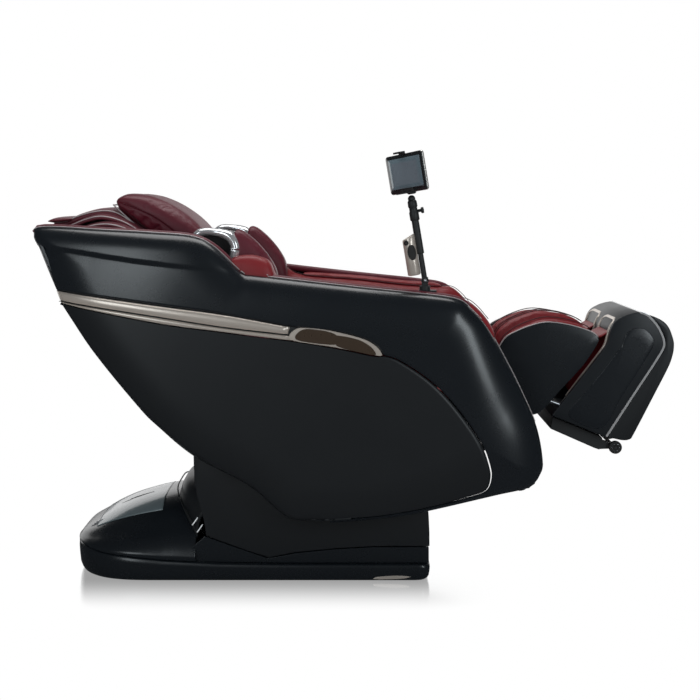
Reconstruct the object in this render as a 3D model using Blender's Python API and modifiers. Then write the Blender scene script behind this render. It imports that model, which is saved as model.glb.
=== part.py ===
"""A reclining full-body massage chair, modelled in metres.

+X points to the feet, +Y to the user's left side and +Z up. The origin lies on the floor under the middle
of the chair. The chair is stored reclined, with its legs raised.

The side view is drawn at the sizes DRAWN_BODY and DRAWN_LEG, and each group of outlines is scaled about its
own joint to the sizes that are set below. Widths, walls and clearances are set by themselves.
"""

import math

import bmesh
import bpy
import numpy as np
from mathutils import Matrix, Vector

# Overall sizes
CHAIR_WIDTH = 0.84
BODY_LENGTH = 1.50
LEG_LENGTH = 0.55
LEG_WIDTH = 0.44
BASE_WIDTH = 0.60
BASE_LENGTH = 1.09
SEAT_WIDTH = 0.504

# Walls, plates and clearances
TOUCH = 0.0003
CLEAR = 0.004
SHELL_WALL = 0.006
EDGE_ROUND = 0.045
EDGE_BAND = 0.13
TRIM_PROUD = 0.003
SEAM = 0.0065
PLATE = 0.006
CALF_WALL = 0.008
TRAY_DEPTH = 0.05
SKIRT_WALL = 0.008

# Cushions
BACK_PAD = 0.098
SEAT_PAD = 0.07
HEAD_PAD = 0.022
PILLOW_WIDTH = 0.34
CALF_PAD = 0.05
CALF_CENTRE_PAD = 0.056

# Shafts, wheels and rods
SHAFT_RADIUS = 0.012
RUNNING = 0.0001
HINGE_PIN_RADIUS = 0.010
RAIL_RADIUS = 0.011
KNEAD_RADIUS = 0.030
KNEAD_WIDTH = 0.020
WHEEL_RADIUS = 0.020
WHEEL_WIDTH = 0.018
AXLE_RADIUS = 0.005
ROLLER_RADIUS = 0.018
TUBE_RADIUS = 0.020
ROD_RADIUS = 0.008
POLE_RADIUS = 0.008
TABLET_WIDTH = 0.185
TABLET_HEIGHT = 0.112
TABLET_DEPTH = 0.010

# Joint axes in the side view, as (X, Z)
PIVOT = (-0.12, 0.33)
KNEE = (0.41, 0.66)
TRACK_CENTRE = (0.15, 1.357)
STAND_X = 0.192
STAND_RISE = 0.0555
POLE_LENGTH = 0.2515
POLE_LEAN = math.radians(9.6)

# The drawn lengths that the outlines below were laid out at
DRAWN_BODY = 1.50
DRAWN_LEG = 0.55
DRAWN_BASE = 1.09
BASE_FRONT = 0.216
TRIM_STEPS = 15
SEAM_STEPS = 30

collection = bpy.data.collections.new("massage_chair")
cutters = bpy.data.collections.new("cutters")


# Outlines in the side view

def body_points(points):
    """Side-view points of the body, scaled about the tilt pivot."""
    scale = BODY_LENGTH / DRAWN_BODY
    return [(PIVOT[0] + (x - PIVOT[0]) * scale, PIVOT[1] + (z - PIVOT[1]) * scale) for x, z in points]


def knee():
    return body_points([KNEE])[0]


def leg_points(points):
    """Side-view points of the leg rest, scaled about the knee hinge and carried with it."""
    scale = LEG_LENGTH / DRAWN_LEG
    at = knee()
    return [(at[0] + (x - KNEE[0]) * scale, at[1] + (z - KNEE[1]) * scale) for x, z in points]


def base_points(points):
    """Side-view points of the base, stretched back from its front end."""
    scale = BASE_LENGTH / DRAWN_BASE
    return [(BASE_FRONT + (x - BASE_FRONT) * scale, z) for x, z in points]


def smooth(points, count, closed=False):
    """A Catmull-Rom curve through the points, read at equal steps of its length."""
    given = np.array(points, float)
    if closed:
        padded = np.vstack([given[-1], given, given[0], given[1]])
    else:
        padded = np.vstack([2 * given[0] - given[1], given, 2 * given[-1] - given[-2]])
    t = np.linspace(0, 1, 9)[:-1, None]
    pieces = []
    for a, b, c, d in zip(padded, padded[1:], padded[2:], padded[3:]):
        pieces.append(
            0.5 * (2 * b + (c - a) * t + (2 * a - 5 * b + 4 * c - d) * t**2 + (3 * b - a - 3 * c + d) * t**3)
        )
    dense = np.vstack(pieces + [padded[-2] if not closed else given[0]])
    steps = np.linalg.norm(np.diff(dense, axis=0), axis=1)
    along = np.concatenate([[0], np.cumsum(steps)])
    wanted = np.linspace(0, along[-1], count + 1 if closed else count)
    curve = np.stack([np.interp(wanted, along, dense[:, i]) for i in range(2)], axis=1)
    return curve[:-1] if closed else curve


def normals_2d(curve):
    """Unit normals on the left of an open side-view curve."""
    along = np.gradient(curve, axis=0)
    along /= np.linalg.norm(along, axis=1)[:, None]
    return np.stack([-along[:, 1], along[:, 0]], axis=1)


def moved_aside(curve, distance):
    return curve + normals_2d(curve) * distance


def band(points, thickness, count=14):
    """The closed outline of a strip of even thickness along a smooth centre line."""
    line = smooth(points, count)
    upper = moved_aside(line, thickness / 2)
    lower = moved_aside(line, -thickness / 2)
    return [tuple(p) for p in lower] + [tuple(p) for p in upper[::-1]]


def track_point(radius, degrees):
    """A point at a radius from the centre of the massage track's arc."""
    scale = BODY_LENGTH / DRAWN_BODY
    centre = body_points([TRACK_CENTRE])[0]
    turn = math.radians(degrees)
    return (centre[0] + scale * radius * math.cos(turn), centre[1] + scale * radius * math.sin(turn))


def arc_of_track(radius, start, end, count=12):
    return [track_point(radius, start + (end - start) * i / (count - 1)) for i in range(count)]


RIM = body_points([
    (-0.953, 1.048), (-0.930, 1.074), (-0.743, 1.066), (-0.600, 1.058), (-0.486, 1.047),
    (-0.423, 1.017),
    (-0.344, 0.945), (-0.300, 0.934), (-0.028, 0.902), (0.200, 0.878), (0.290, 0.863), (0.332, 0.830),
    (0.376, 0.781), (0.435, 0.679), (0.480, 0.591), (0.525, 0.488), (0.545, 0.394), (0.541, 0.345),
    (0.505, 0.302), (0.411, 0.278), (0.207, 0.233), (0.081, 0.214), (-0.087, 0.200),
])
RIM_CORNER = body_points([(0.200, 0.878)])[0]
TRIM_TOP = body_points([
    (-0.886, 0.894), (-0.587, 0.853), (-0.394, 0.827), (-0.201, 0.792), (-0.080, 0.778), (0.007, 0.757),
    (0.047, 0.735),
])
TRIM_FOOT = body_points([
    (-0.876, 0.856), (-0.587, 0.801), (-0.395, 0.775), (-0.196, 0.750), (-0.080, 0.731), (0.007, 0.714),
    (0.050, 0.705),
])
SEAM_LINE = body_points([
    (0.070, 0.708), (0.117, 0.692), (0.204, 0.634), (0.278, 0.560), (0.352, 0.457), (0.382, 0.383),
    (0.388, 0.338), (0.374, 0.299), (0.324, 0.2785), (0.207, 0.248), (0.060, 0.224), (-0.087, 0.212),
])
REAR = body_points([
    (-0.874, 0.850), (-0.783, 0.711), (-0.656, 0.553), (-0.593, 0.488), (-0.486, 0.399),
    (-0.326, 0.311),
    (-0.215, 0.2180), (-0.135, 0.2110),
])
BACK_LINE = body_points([
    (-0.935, 1.045), (-0.862, 0.875), (-0.735, 0.690), (-0.600, 0.555), (-0.460, 0.465),
    (-0.300, 0.390),
    (-0.120, 0.350), (0.060, 0.352), (0.220, 0.385), (0.345, 0.450),
])


ARM_TOP = body_points([(-0.226, 0.905), (0.000, 0.885), (0.200, 0.862), (0.285, 0.848), (0.330, 0.805)])
STAND_SIDE = -(CHAIR_WIDTH / 2 - EDGE_ROUND - 0.040)
stand_x = body_points([(STAND_X, 0)])[0][0]
ARM_HEIGHT = float(np.interp(stand_x, *np.array(ARM_TOP).T))
STAND_FOOT = (stand_x, ARM_HEIGHT + STAND_RISE)
STAND_TOP = (stand_x - POLE_LENGTH * math.sin(POLE_LEAN),
             STAND_FOOT[1] + POLE_LENGTH * math.cos(POLE_LEAN))


def side_outline():
    return np.vstack([smooth(RIM, 60), smooth(REAR, 30)[::-1]])


def skin(points):
    """Half the chair's width at side-view points: flat in the middle, rounded off towards the outline."""
    edge = side_outline()
    start = edge
    along = np.roll(edge, -1, axis=0) - start
    apart = np.asarray(points)[:, None, :] - start[None]
    share = np.clip((apart * along).sum(2) / (along**2).sum(1), 0, 1)
    distance = np.linalg.norm(apart - share[..., None] * along, axis=2).min(axis=1)
    rounding = (1 - np.clip(distance / EDGE_BAND, 0, 1)) ** 2
    return CHAIR_WIDTH / 2 - EDGE_ROUND * rounding


# Blender helpers

def clear_scene():
    for obj in list(bpy.data.objects):
        bpy.data.objects.remove(obj, do_unlink=True)


def finish(obj, colour, roughness, metallic=0.0):
    """Gives the object its own Principled material."""
    material = bpy.data.materials.new(obj.name)
    material.use_nodes = True
    shader = material.node_tree.nodes["Principled BSDF"]
    shader.inputs["Base Color"].default_value = (*colour, 1)
    shader.inputs["Roughness"].default_value = roughness
    shader.inputs["Metallic"].default_value = metallic
    material.diffuse_color = (*colour, 1)
    obj.data.materials.clear()
    obj.data.materials.append(material)
    return obj


def gloss_black(obj):
    return finish(obj, (0.010, 0.012, 0.015), 0.12)


def satin_charcoal(obj):
    return finish(obj, (0.020, 0.022, 0.025), 0.42)


def champagne(obj):
    return finish(obj, (0.55, 0.47, 0.40), 0.25, 1.0)


def burgundy(obj):
    return finish(obj, (0.16, 0.012, 0.022), 0.45)


def steel(obj):
    return finish(obj, (0.45, 0.46, 0.48), 0.35, 1.0)


def dark_metal(obj):
    return finish(obj, (0.04, 0.04, 0.045), 0.45, 0.8)


def black_rubber(obj):
    return finish(obj, (0.015, 0.015, 0.015), 0.8)


def link(obj, helper=False):
    for owner in list(obj.users_collection):
        owner.objects.unlink(obj)
    (cutters if helper else collection).objects.link(obj)
    if helper:
        obj.hide_render = True
        obj.display_type = "WIRE"
    return obj


def mesh_object(name, mesh, helper=False):
    return link(bpy.data.objects.new(name, mesh), helper)


def apply_matrix(obj):
    obj.data.transform(obj.matrix_world)
    obj.matrix_world = Matrix.Identity(4)
    return obj


def as_mesh(curve_object, helper=False):
    """A mesh object in the place of a curve object, with its caps welded on."""
    bpy.context.view_layer.update()
    graph = bpy.context.evaluated_depsgraph_get()
    mesh = bpy.data.meshes.new_from_object(curve_object.evaluated_get(graph))
    name = curve_object.name
    place = curve_object.matrix_world.copy()
    bpy.data.objects.remove(curve_object, do_unlink=True)
    made = mesh_object(name, mesh, helper)
    made.matrix_world = place
    apply_matrix(made)
    soft = bmesh.new()
    soft.from_mesh(made.data)
    bmesh.ops.remove_doubles(soft, verts=soft.verts, dist=1e-6)
    bmesh.ops.recalc_face_normals(soft, faces=soft.faces)
    soft.to_mesh(made.data)
    soft.free()
    return made


def slab(name, outline, low, high, bevel=0.0, helper=False, plan=False):
    """A closed outline extruded from low to high: across the chair or, with plan, upwards."""
    curve = bpy.data.curves.new(name, "CURVE")
    curve.dimensions = "2D"
    curve.fill_mode = "BOTH"
    curve.extrude = (high - low) / 2
    spline = curve.splines.new("POLY")
    spline.points.add(len(outline) - 1)
    for point, (a, b) in zip(spline.points, outline):
        point.co = (a, b, 0, 1)
    spline.use_cyclic_u = True
    obj = link(bpy.data.objects.new(name, curve), helper)
    if plan:
        obj.location = (0, 0, (low + high) / 2)
    else:
        obj.location = (0, (low + high) / 2, 0)
        obj.rotation_euler = (math.pi / 2, 0, 0)
    made = as_mesh(obj, helper)
    return rounded(made, bevel) if bevel else made


def rounded(obj, width, segments=2, angle=35):
    edge = obj.modifiers.new("round", "BEVEL")
    edge.width = width
    edge.segments = segments
    edge.limit_method = "ANGLE"
    edge.angle_limit = math.radians(angle)
    return obj


def box(name, low, high, bevel=0.0, helper=False):
    form = bmesh.new()
    bmesh.ops.create_cube(form, size=1)
    mesh = bpy.data.meshes.new(name)
    form.to_mesh(mesh)
    form.free()
    low, high = Vector(low), Vector(high)
    size = high - low
    mesh.transform(Matrix.Translation((low + high) / 2) @ Matrix.Diagonal((*size, 1)))
    obj = mesh_object(name, mesh, helper)
    return rounded(obj, bevel) if bevel else obj


def cylinder(name, start, end, radius, sides=32, helper=False):
    start, end = Vector(start), Vector(end)
    form = bmesh.new()
    bmesh.ops.create_cone(
        form, cap_ends=True, segments=sides, radius1=radius, radius2=radius, depth=(end - start).length
    )
    mesh = bpy.data.meshes.new(name)
    form.to_mesh(mesh)
    form.free()
    turn = (end - start).to_track_quat("Z", "Y").to_matrix().to_4x4()
    mesh.transform(Matrix.Translation((start + end) / 2) @ turn)
    mesh.shade_smooth()
    mesh.set_sharp_from_angle(angle=math.radians(40))
    return mesh_object(name, mesh, helper)


def across(name, centre, low, high, radius, sides=32, helper=False):
    """A cylinder across the chair, with its side-view centre."""
    return cylinder(name, (centre[0], low, centre[1]), (centre[0], high, centre[1]), radius, sides,
                    helper)


def turned(name, profile, centre, steps=32):
    """A profile of (radius, place along Y) turned about an axis across the chair."""
    mesh = bpy.data.meshes.new(name)
    edges = [(i, i + 1) for i in range(len(profile) - 1)]
    mesh.from_pydata([(r, 0, -y) for r, y in profile[::-1]], edges, [])
    obj = mesh_object(name, mesh)
    screw = obj.modifiers.new("turn", "SCREW")
    screw.steps = steps
    screw.render_steps = steps
    screw.use_merge_vertices = True
    screw.merge_threshold = 0.0001
    screw.use_smooth_shade = True
    obj.rotation_euler = (math.pi / 2, 0, 0)
    obj.location = (centre[0], 0, centre[1])
    return obj


def tube(name, points, radius, resolution=3):
    curve = bpy.data.curves.new(name, "CURVE")
    curve.dimensions = "3D"
    curve.bevel_depth = radius
    curve.bevel_resolution = resolution
    curve.use_fill_caps = True
    spline = curve.splines.new("POLY")
    spline.points.add(len(points) - 1)
    for point, place in zip(spline.points, points):
        point.co = (*place, 1)
    return as_mesh(link(bpy.data.objects.new(name, curve)))


def boolean(obj, other, operation):
    step = obj.modifiers.new(other.name, "BOOLEAN")
    step.operation = operation
    step.solver = "EXACT"
    step.object = other
    return obj


def cut(obj, *others):
    for other in others:
        boolean(obj, other, "DIFFERENCE")
    return obj


def join(obj, *others):
    for other in others:
        boolean(obj, other, "UNION")
    return obj


def sheet(name, grid, thickness):
    """A grid of points as an open surface, solidified inwards by the thickness."""
    rows, columns, _ = grid.shape
    index = np.arange(rows * columns).reshape(rows, columns)
    faces = np.stack([index[:-1, :-1], index[:-1, 1:], index[1:, 1:], index[1:, :-1]], axis=2)
    mesh = bpy.data.meshes.new(name)
    mesh.from_pydata(grid.reshape(-1, 3).tolist(), [], faces.reshape(-1, 4).tolist())
    mesh.shade_smooth()
    obj = mesh_object(name, mesh)
    wall = obj.modifiers.new("wall", "SOLIDIFY")
    wall.thickness = thickness
    wall.offset = -1
    return obj


def side_sheet(name, upper, lower, side, thickness, proud=0.0, rows=4):
    """A curved side cover between two side-view curves. side is -1 for the right and 1 for the left."""
    share = np.linspace(0, 1, rows)[:, None, None]
    flat = np.asarray(upper)[None] * (1 - share) + np.asarray(lower)[None] * share
    width = skin(flat.reshape(-1, 2)).reshape(flat.shape[:2]) + proud
    grid = np.stack([flat[..., 0], side * width, flat[..., 1]], axis=2)
    return sheet(name, grid if side < 0 else grid[::-1], thickness)


def parent_all(pivot_name, place, objects):
    """Hangs the objects on an empty at their joint, without moving them."""
    empty = bpy.data.objects.new(pivot_name, None)
    empty.empty_display_size = 0.05
    empty.location = place
    collection.objects.link(empty)
    bpy.context.view_layer.update()
    for obj in objects:
        obj.parent = empty
        obj.matrix_parent_inverse = empty.matrix_world.inverted()
    return empty


# The base, which stands on the floor

HALF_BASE = BASE_WIDTH / 2
SKIRT_IN = HALF_BASE - SKIRT_WALL - 0.010


def base_plan(grow=0.0):
    """The plan outline of the base: square at the front, rounded at the rear."""
    front = BASE_FRONT + grow
    rear = base_points([(-0.874, 0)])[0][0] - grow
    half = HALF_BASE + grow
    depth = half * 0.75
    turn = np.linspace(-math.pi / 2, math.pi / 2, 17)
    power = 0.62
    arc = [
        (rear + depth - depth * math.cos(a) ** power,
         half * math.copysign(abs(math.sin(a)) ** power, math.sin(a)))
        for a in turn
    ]
    return [(front, -half)] + [(front, half)] + [(x, y) for x, y in arc[::-1]]


def base_tray():
    side = base_points([
        (-0.600, 0.0), (0.188, 0.0), (BASE_FRONT, 0.022), (BASE_FRONT, TRAY_DEPTH),
        (-0.560, TRAY_DEPTH),
        (-0.800, 0.064), (-0.880, 0.082), (-0.880, 0.070), (-0.840, 0.030),
    ])
    tray = slab("base_tray", side, -HALF_BASE - 0.05, HALF_BASE + 0.05)
    plan = slab("tray_plan", base_plan(), -0.1, 0.2, helper=True, plan=True)
    satin_charcoal(tray)
    return boolean(tray, plan, "INTERSECT")


def nose_cover():
    """A dome over the rear of the base: low and round at the rear, higher towards the pedestal."""
    plan = np.array(base_plan()[2:])
    rows = 7
    ridge = smooth(base_points([(-0.874, 0.098), (-0.80, 0.152), (-0.72, 0.190), (-0.64, 0.216),
                                (-0.575, 0.232)]), rows)
    edge = smooth(base_points([(-0.874, 0.090), (-0.80, 0.112), (-0.72, 0.118), (-0.64, 0.124),
                               (-0.575, 0.130)]), rows)
    span = np.linspace(-1, 1, 13)
    bulge = 1 - np.abs(span) ** 3.2
    grid = np.zeros((rows, len(span), 3))
    for i in range(rows):
        x = ridge[i, 0]
        order = np.argsort(plan[:, 0])
        half = np.interp(x, plan[order, 0], np.abs(plan[order, 1])) if x > plan[:, 0].min() else 0.0
        half = max(half, HALF_BASE * 0.45) - 0.003
        grid[i, :, 0] = x
        grid[i, :, 1] = span * half
        grid[i, :, 2] = edge[i, 1] + (ridge[i, 1] - edge[i, 1]) * bulge
    return gloss_black(sheet("nose_cover", grid[:, ::-1], 0.005))


def boot_collar():
    side = base_points([(-0.568, 0.0), (-0.566, 0.0), (-0.550, 0.0), (-0.505, 0.0)])
    rear, step, crown, front = (x for x, _ in side)
    outline = [
        (rear, TRAY_DEPTH + TOUCH), (front, TRAY_DEPTH + TOUCH), (front, 0.287), (crown, 0.281),
        (step, 0.258),
    ]
    return satin_charcoal(slab("boot_collar", outline, -HALF_BASE * 0.86, HALF_BASE * 0.86,
                               bevel=0.012))


def pedestal_skirt(side):
    outline = base_points([
        (-0.501, 0.415), (-0.500, 0.351), (-0.491, 0.262), (-0.469, 0.173), (-0.466, 0.141),
        (-0.402, 0.116), (-0.275, 0.072), (-0.196, 0.088), (-0.074, 0.100), (0.045, 0.107),
        (0.214, 0.107), (0.211, 0.200), (0.205, 0.268), (-0.200, 0.270), (-0.330, 0.330),
        (-0.420, 0.413),
    ])
    low, high = sorted((side * SKIRT_IN, side * (SKIRT_IN + SKIRT_WALL)))
    name = "pedestal_skirt_right" if side < 0 else "pedestal_skirt_left"
    return satin_charcoal(slab(name, outline, low, high, bevel=0.002))


def pedestal_wall(name, x, low, high):
    """An upright wall between the two skirts."""
    reach = SKIRT_IN - TOUCH
    (near,) = base_points([(x, 0)])
    wall = box(name, (near[0], -reach, low), (near[0] + SKIRT_WALL, reach, high))
    return satin_charcoal(wall)


RAIL_SIDE = 0.19
RAIL_HEIGHT = 0.024
RAIL_TOP = TRAY_DEPTH + TOUCH + RAIL_HEIGHT


def slide_rail(side):
    (rear, _), (front, _) = base_points([(-0.430, 0), (0.150, 0)])
    name = "slide_rail_right" if side < 0 else "slide_rail_left"
    low, high = sorted((side * (RAIL_SIDE - 0.010), side * (RAIL_SIDE + 0.010)))
    return steel(box(name, (rear, low, TRAY_DEPTH + TOUCH), (front, high, RAIL_TOP), bevel=0.0015))


def air_pump():
    low = (0.105, -0.09, TRAY_DEPTH + TOUCH)
    return dark_metal(box("air_pump", low, (0.185, 0.09, 0.150), bevel=0.006))


REAR_WALL_X = -0.500
INLET_SIDE = 0.10
INLET_HEIGHT = 0.345
INLET_DEPTH = 0.012


def power_inlet():
    """A mains inlet on the rear wall: a frame with a hollow for the lead's plug."""
    (wall,) = base_points([(REAR_WALL_X, 0)])
    outer = wall[0] - TOUCH
    z = INLET_HEIGHT
    body = box("power_inlet", (outer - INLET_DEPTH, INLET_SIDE - 0.024, z - 0.014),
               (outer, INLET_SIDE + 0.024, z + 0.014), bevel=0.001)
    hollow = box("inlet_hollow", (outer - INLET_DEPTH - 0.004, INLET_SIDE - 0.017, z - 0.0085),
                 (outer - 0.002, INLET_SIDE + 0.017, z + 0.0085), helper=True)
    return black_rubber(cut(body, hollow))


ROCKER_SIDE = 0.045


def power_switch():
    """A rocker on the rear wall, on its frame's face."""
    (wall,) = base_points([(REAR_WALL_X, 0)])
    outer = wall[0] - 0.0020
    z = INLET_HEIGHT
    outline = [(outer, z - 0.010), (outer - 0.0050, z - 0.010), (outer - 0.0032, z),
               (outer - 0.0015, z + 0.010),
               (outer, z + 0.010)]
    return black_rubber(slab("power_switch", outline, ROCKER_SIDE - 0.007, ROCKER_SIDE + 0.007))


# The carriage, which slides on the base and carries the tilt shaft

CARRIAGE_HALF = 0.252
UPRIGHT_IN = 0.240
UPRIGHT_OUT = 0.248
CARRIAGE_TOP = RAIL_TOP + 0.010
LINK_FOOT = (0.020, 0.118)
LINK_HEAD = (-0.360, 0.400)


def carriage():
    plate = box("carriage", (-0.27, -CARRIAGE_HALF, RAIL_TOP + 0.001),
                (0.06, CARRIAGE_HALF, CARRIAGE_TOP))
    dip = CARRIAGE_TOP - 0.004
    px, pz = PIVOT
    upright = [(px - 0.10, dip), (px + 0.09, dip), (px + 0.030, pz), (px + 0.018, pz + 0.022),
               (px, pz + 0.028), (px - 0.018, pz + 0.022), (px - 0.030, pz)]
    parts = [slab(f"upright_{i}", upright, *sorted((s * UPRIGHT_IN, s * UPRIGHT_OUT)), helper=True)
             for i, s in enumerate((-1, 1))]
    fx, fz = LINK_FOOT
    ear = [(fx - 0.020, dip), (fx + 0.020, dip), (fx + 0.011, fz + 0.008), (fx, fz + 0.012),
           (fx - 0.011, fz + 0.008)]
    parts += [slab(f"link_ear_{i}", ear, *sorted((s * 0.024, s * 0.030)), helper=True)
              for i, s in enumerate((-1, 1))]
    join(plate, *parts)
    bore = across("carriage_bore", PIVOT, -0.3, 0.3, SHAFT_RADIUS + TOUCH, 48, helper=True)
    pin_bore = across("link_bore", LINK_FOOT, -0.1, 0.1, 0.0063, 24, helper=True)
    return dark_metal(cut(plate, bore, pin_bore))


def pivot_shaft():
    return steel(across("pivot_shaft", PIVOT, -SKIRT_IN + 0.006, SKIRT_IN - 0.006, SHAFT_RADIUS, 48))


def link_axis():
    foot = Vector((LINK_FOOT[0], 0, LINK_FOOT[1]))
    head_x, head_z = body_points([LINK_HEAD])[0]
    head = Vector((head_x, 0, head_z))
    return foot, head


def recline_tube():
    """The recline motor's tube: an eye with its own pins at the foot, and a bore for the rod."""
    foot, head = link_axis()
    along = (head - foot).normalized()
    length = (head - foot).length
    body = cylinder("recline_tube", foot - along * 0.012, foot + along * length * 0.62, TUBE_RADIUS, 24)
    pin = across("foot_pin", LINK_FOOT, -0.034, 0.034, 0.006, 24, helper=True)
    join(body, pin)
    bore = cylinder("rod_bore", foot + along * length * 0.10, foot + along * (length * 0.62 + 0.02),
                    ROD_RADIUS + 0.0005, 24, helper=True)
    return dark_metal(cut(body, bore))


def recline_rod():
    """The rod, with a fork whose two wide eyes go round the head pin."""
    foot, head = link_axis()
    along = (head - foot).normalized()
    length = (head - foot).length
    rod = cylinder("recline_rod", foot + along * length * 0.22, head - along * 0.024, ROD_RADIUS, 20)
    yoke_low = head - along * 0.026
    yoke = cylinder("rod_yoke", yoke_low - along * 0.008, yoke_low, 0.0165, 24, helper=True)
    join(rod, yoke)
    for i, s in enumerate((-1, 1)):
        low, high = sorted((s * 0.0095, s * 0.0145))
        eye = across(f"rod_eye_{i}", (head.x, head.z), low, high, 0.018, 24, helper=True)
        arm_a = head - along * 0.030
        square = Vector((-along.z, 0, along.x))
        outline = [arm_a + square * 0.010, arm_a - square * 0.010, head - square * 0.010,
                   head + square * 0.010]
        arm = slab(f"rod_arm_{i}", [(p.x, p.z) for p in outline], low, high, helper=True)
        join(rod, eye, arm)
    hole = across("rod_hole", (head.x, head.z), -0.05, 0.05, 0.0115, 24, helper=True)
    return steel(cut(rod, hole))


# The tilting body

HALF_SEAT = SEAT_WIDTH / 2
FRAME_IN = HALF_SEAT + 0.005
FRAME_OUT = FRAME_IN + PLATE
BODY_IN = CHAIR_WIDTH / 2 - EDGE_ROUND - SHELL_WALL - 0.006
ARM_IN = FRAME_OUT + 0.005


def name_of(stem, side):
    return f"{stem}_right" if side < 0 else f"{stem}_left"


def read_along(curve, count):
    """Points at equal steps along a dense curve."""
    return curve[np.linspace(0, len(curve) - 1, count).round().astype(int)]


def side_shell(side):
    """The gloss cover: the rim over the trim, and the front and the tail round the side panel."""
    rim = smooth(RIM, 600)
    corner = int(np.argmin(np.linalg.norm(rim - np.array(RIM_CORNER), axis=1)))
    outer = np.vstack([read_along(rim[:corner], TRIM_STEPS), read_along(rim[corner:], SEAM_STEPS)])
    inner = np.vstack([smooth(TRIM_TOP, TRIM_STEPS), smooth(SEAM_LINE, SEAM_STEPS)])
    return gloss_black(side_sheet(name_of("side_shell", side), inner, outer, side, SHELL_WALL))


def panel_top():
    seam = moved_aside(smooth(SEAM_LINE, SEAM_STEPS), -SEAM)
    return np.vstack([moved_aside(smooth(TRIM_FOOT, TRIM_STEPS), -SEAM), seam[1:]])


def side_panel(side):
    """The satin cover under the trim."""
    upper = panel_top()
    lower = smooth(REAR, len(upper))
    return satin_charcoal(side_sheet(name_of("side_panel", side), lower, upper, side, SHELL_WALL))


def trim_strip(side):
    """The bright moulding between the two covers, which ends in the blank badge plate."""
    upper = moved_aside(smooth(TRIM_TOP, TRIM_STEPS), -SEAM)
    lower = smooth(TRIM_FOOT, TRIM_STEPS)
    return champagne(side_sheet(name_of("trim_strip", side), lower, upper, side, SHELL_WALL,
                                TRIM_PROUD, rows=3))


def back_shell():
    """The cover under the back and the seat, with slots for the frame's ears."""
    shell = slab("back_shell", band(BACK_LINE, SHELL_WALL, 20), -BODY_IN, BODY_IN)
    px, pz = PIVOT
    for side in (-1, 1):
        low, high = sorted((side * (UPRIGHT_IN - CLEAR), side * (FRAME_OUT + CLEAR)))
        slot = box(name_of("ear_slot", side), (px - 0.07, low, pz - 0.05),
                   (px + 0.07, high, pz + 0.10), helper=True)
        cut(shell, slot)
    hx, hz = body_points([LINK_HEAD])[0]
    slot = box("link_slot", (hx - 0.045, -0.024, hz - 0.02), (hx + 0.045, 0.024, hz + 0.10),
               helper=True)
    return gloss_black(cut(shell, slot))


def seat_frame(side):
    """A flat steel side plate from the head to the knee, with ears for the tilt shaft and the leg hinge."""
    px, pz = PIVOT
    ear = [(px - 0.038, pz + 0.005), (px - 0.026, pz - 0.020), (px, pz - 0.031),
           (px + 0.026, pz - 0.020),
           (px + 0.038, pz + 0.005), (px + 0.050, pz + 0.042)]
    lower = body_points([(0.050, 0.376), (0.200, 0.410), (0.330, 0.485), (0.395, 0.600)])
    kx, kz = knee()
    hinge_ear = [(kx + 0.020, kz - 0.022), (kx + 0.029, kz), (kx + 0.020, kz + 0.020), (kx, kz + 0.028),
                 (kx - 0.022, kz + 0.018)]
    upper = body_points([(0.355, 0.640), (0.290, 0.540), (0.180, 0.470), (0.050, 0.435)])
    outline = (arc_of_track(1.025, -150, -109.5) + ear + lower + hinge_ear + upper
               + arc_of_track(0.950, -105, -150))
    low, high = sorted((side * FRAME_IN, side * FRAME_OUT))
    plate = slab(name_of("seat_frame", side), outline, low, high)
    shaft = across(name_of("shaft_hole", side), PIVOT, low - 0.01, high + 0.01,
                   SHAFT_RADIUS + RUNNING, 48, helper=True)
    hinge = across(name_of("hinge_hole", side), knee(), low - 0.01, high + 0.01,
                   HINGE_PIN_RADIUS + RUNNING, 48,
                   helper=True)
    return dark_metal(cut(plate, shaft, hinge))


def cross_member():
    """A bar between the side plates, with the ear and pin that the recline rod pushes."""
    hx, hz = body_points([LINK_HEAD])[0]
    mid = track_point(1.006, -118)
    turn = math.radians(-118)
    out = Vector((math.cos(turn), math.sin(turn)))
    along = Vector((-out.y, out.x))
    centre = Vector(mid)
    corners = [centre + out * a + along * b for a,
               b in ((-0.011, -0.022), (-0.011, 0.022), (0.011, 0.022),
                                                         (0.011, -0.022))]
    bar = slab("cross_member", [tuple(c) for c in corners], -FRAME_IN + TOUCH, FRAME_IN - TOUCH)
    root = centre + out * 0.004
    ear_outline = [tuple(root + along * 0.018), tuple(root - along * 0.018), (hx - 0.012, hz + 0.004),
                   (hx - 0.008, hz - 0.009), (hx + 0.008, hz - 0.009), (hx + 0.012, hz + 0.004)]
    ear = slab("link_head_ear", ear_outline, -0.006, 0.006, helper=True)
    pin = across("link_head_pin", (hx, hz), -0.019, 0.019, 0.007, 24, helper=True)
    return dark_metal(join(bar, ear, pin))


def seat_pan():
    line = body_points([(-0.088, 0.437), (0.020, 0.438), (0.160, 0.472), (0.335, 0.570)])
    return dark_metal(slab("seat_pan", band(line, 0.006, 10), -HALF_SEAT + 0.01, HALF_SEAT - 0.01))


def seat_cushion():
    line = body_points([(-0.082, 0.440), (0.020, 0.441), (0.160, 0.475), (0.335, 0.573)])
    middle = moved_aside(smooth(line, 12), SEAT_PAD / 2 + 0.004)
    return burgundy(slab("seat_cushion", band(middle, SEAT_PAD, 10), -HALF_SEAT, HALF_SEAT,
                         bevel=0.012))


def back_cushion():
    outer = 0.866
    inner = outer - BACK_PAD
    outline = arc_of_track(outer, -149.5, -108.5, 10) + arc_of_track(inner, -108.5, -149.5, 10)
    half = HALF_SEAT - 0.022
    return burgundy(slab("back_cushion", outline, -half, half, bevel=0.014))


def head_pad():
    """The padded hood that arches over the head end of the track."""
    line = body_points([(-0.925, 1.066), (-0.862, 1.086), (-0.790, 1.103), (-0.722, 1.104)])
    return burgundy(slab("head_pad", band(line, HEAD_PAD, 9), -0.27, 0.27, bevel=0.006))


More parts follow.
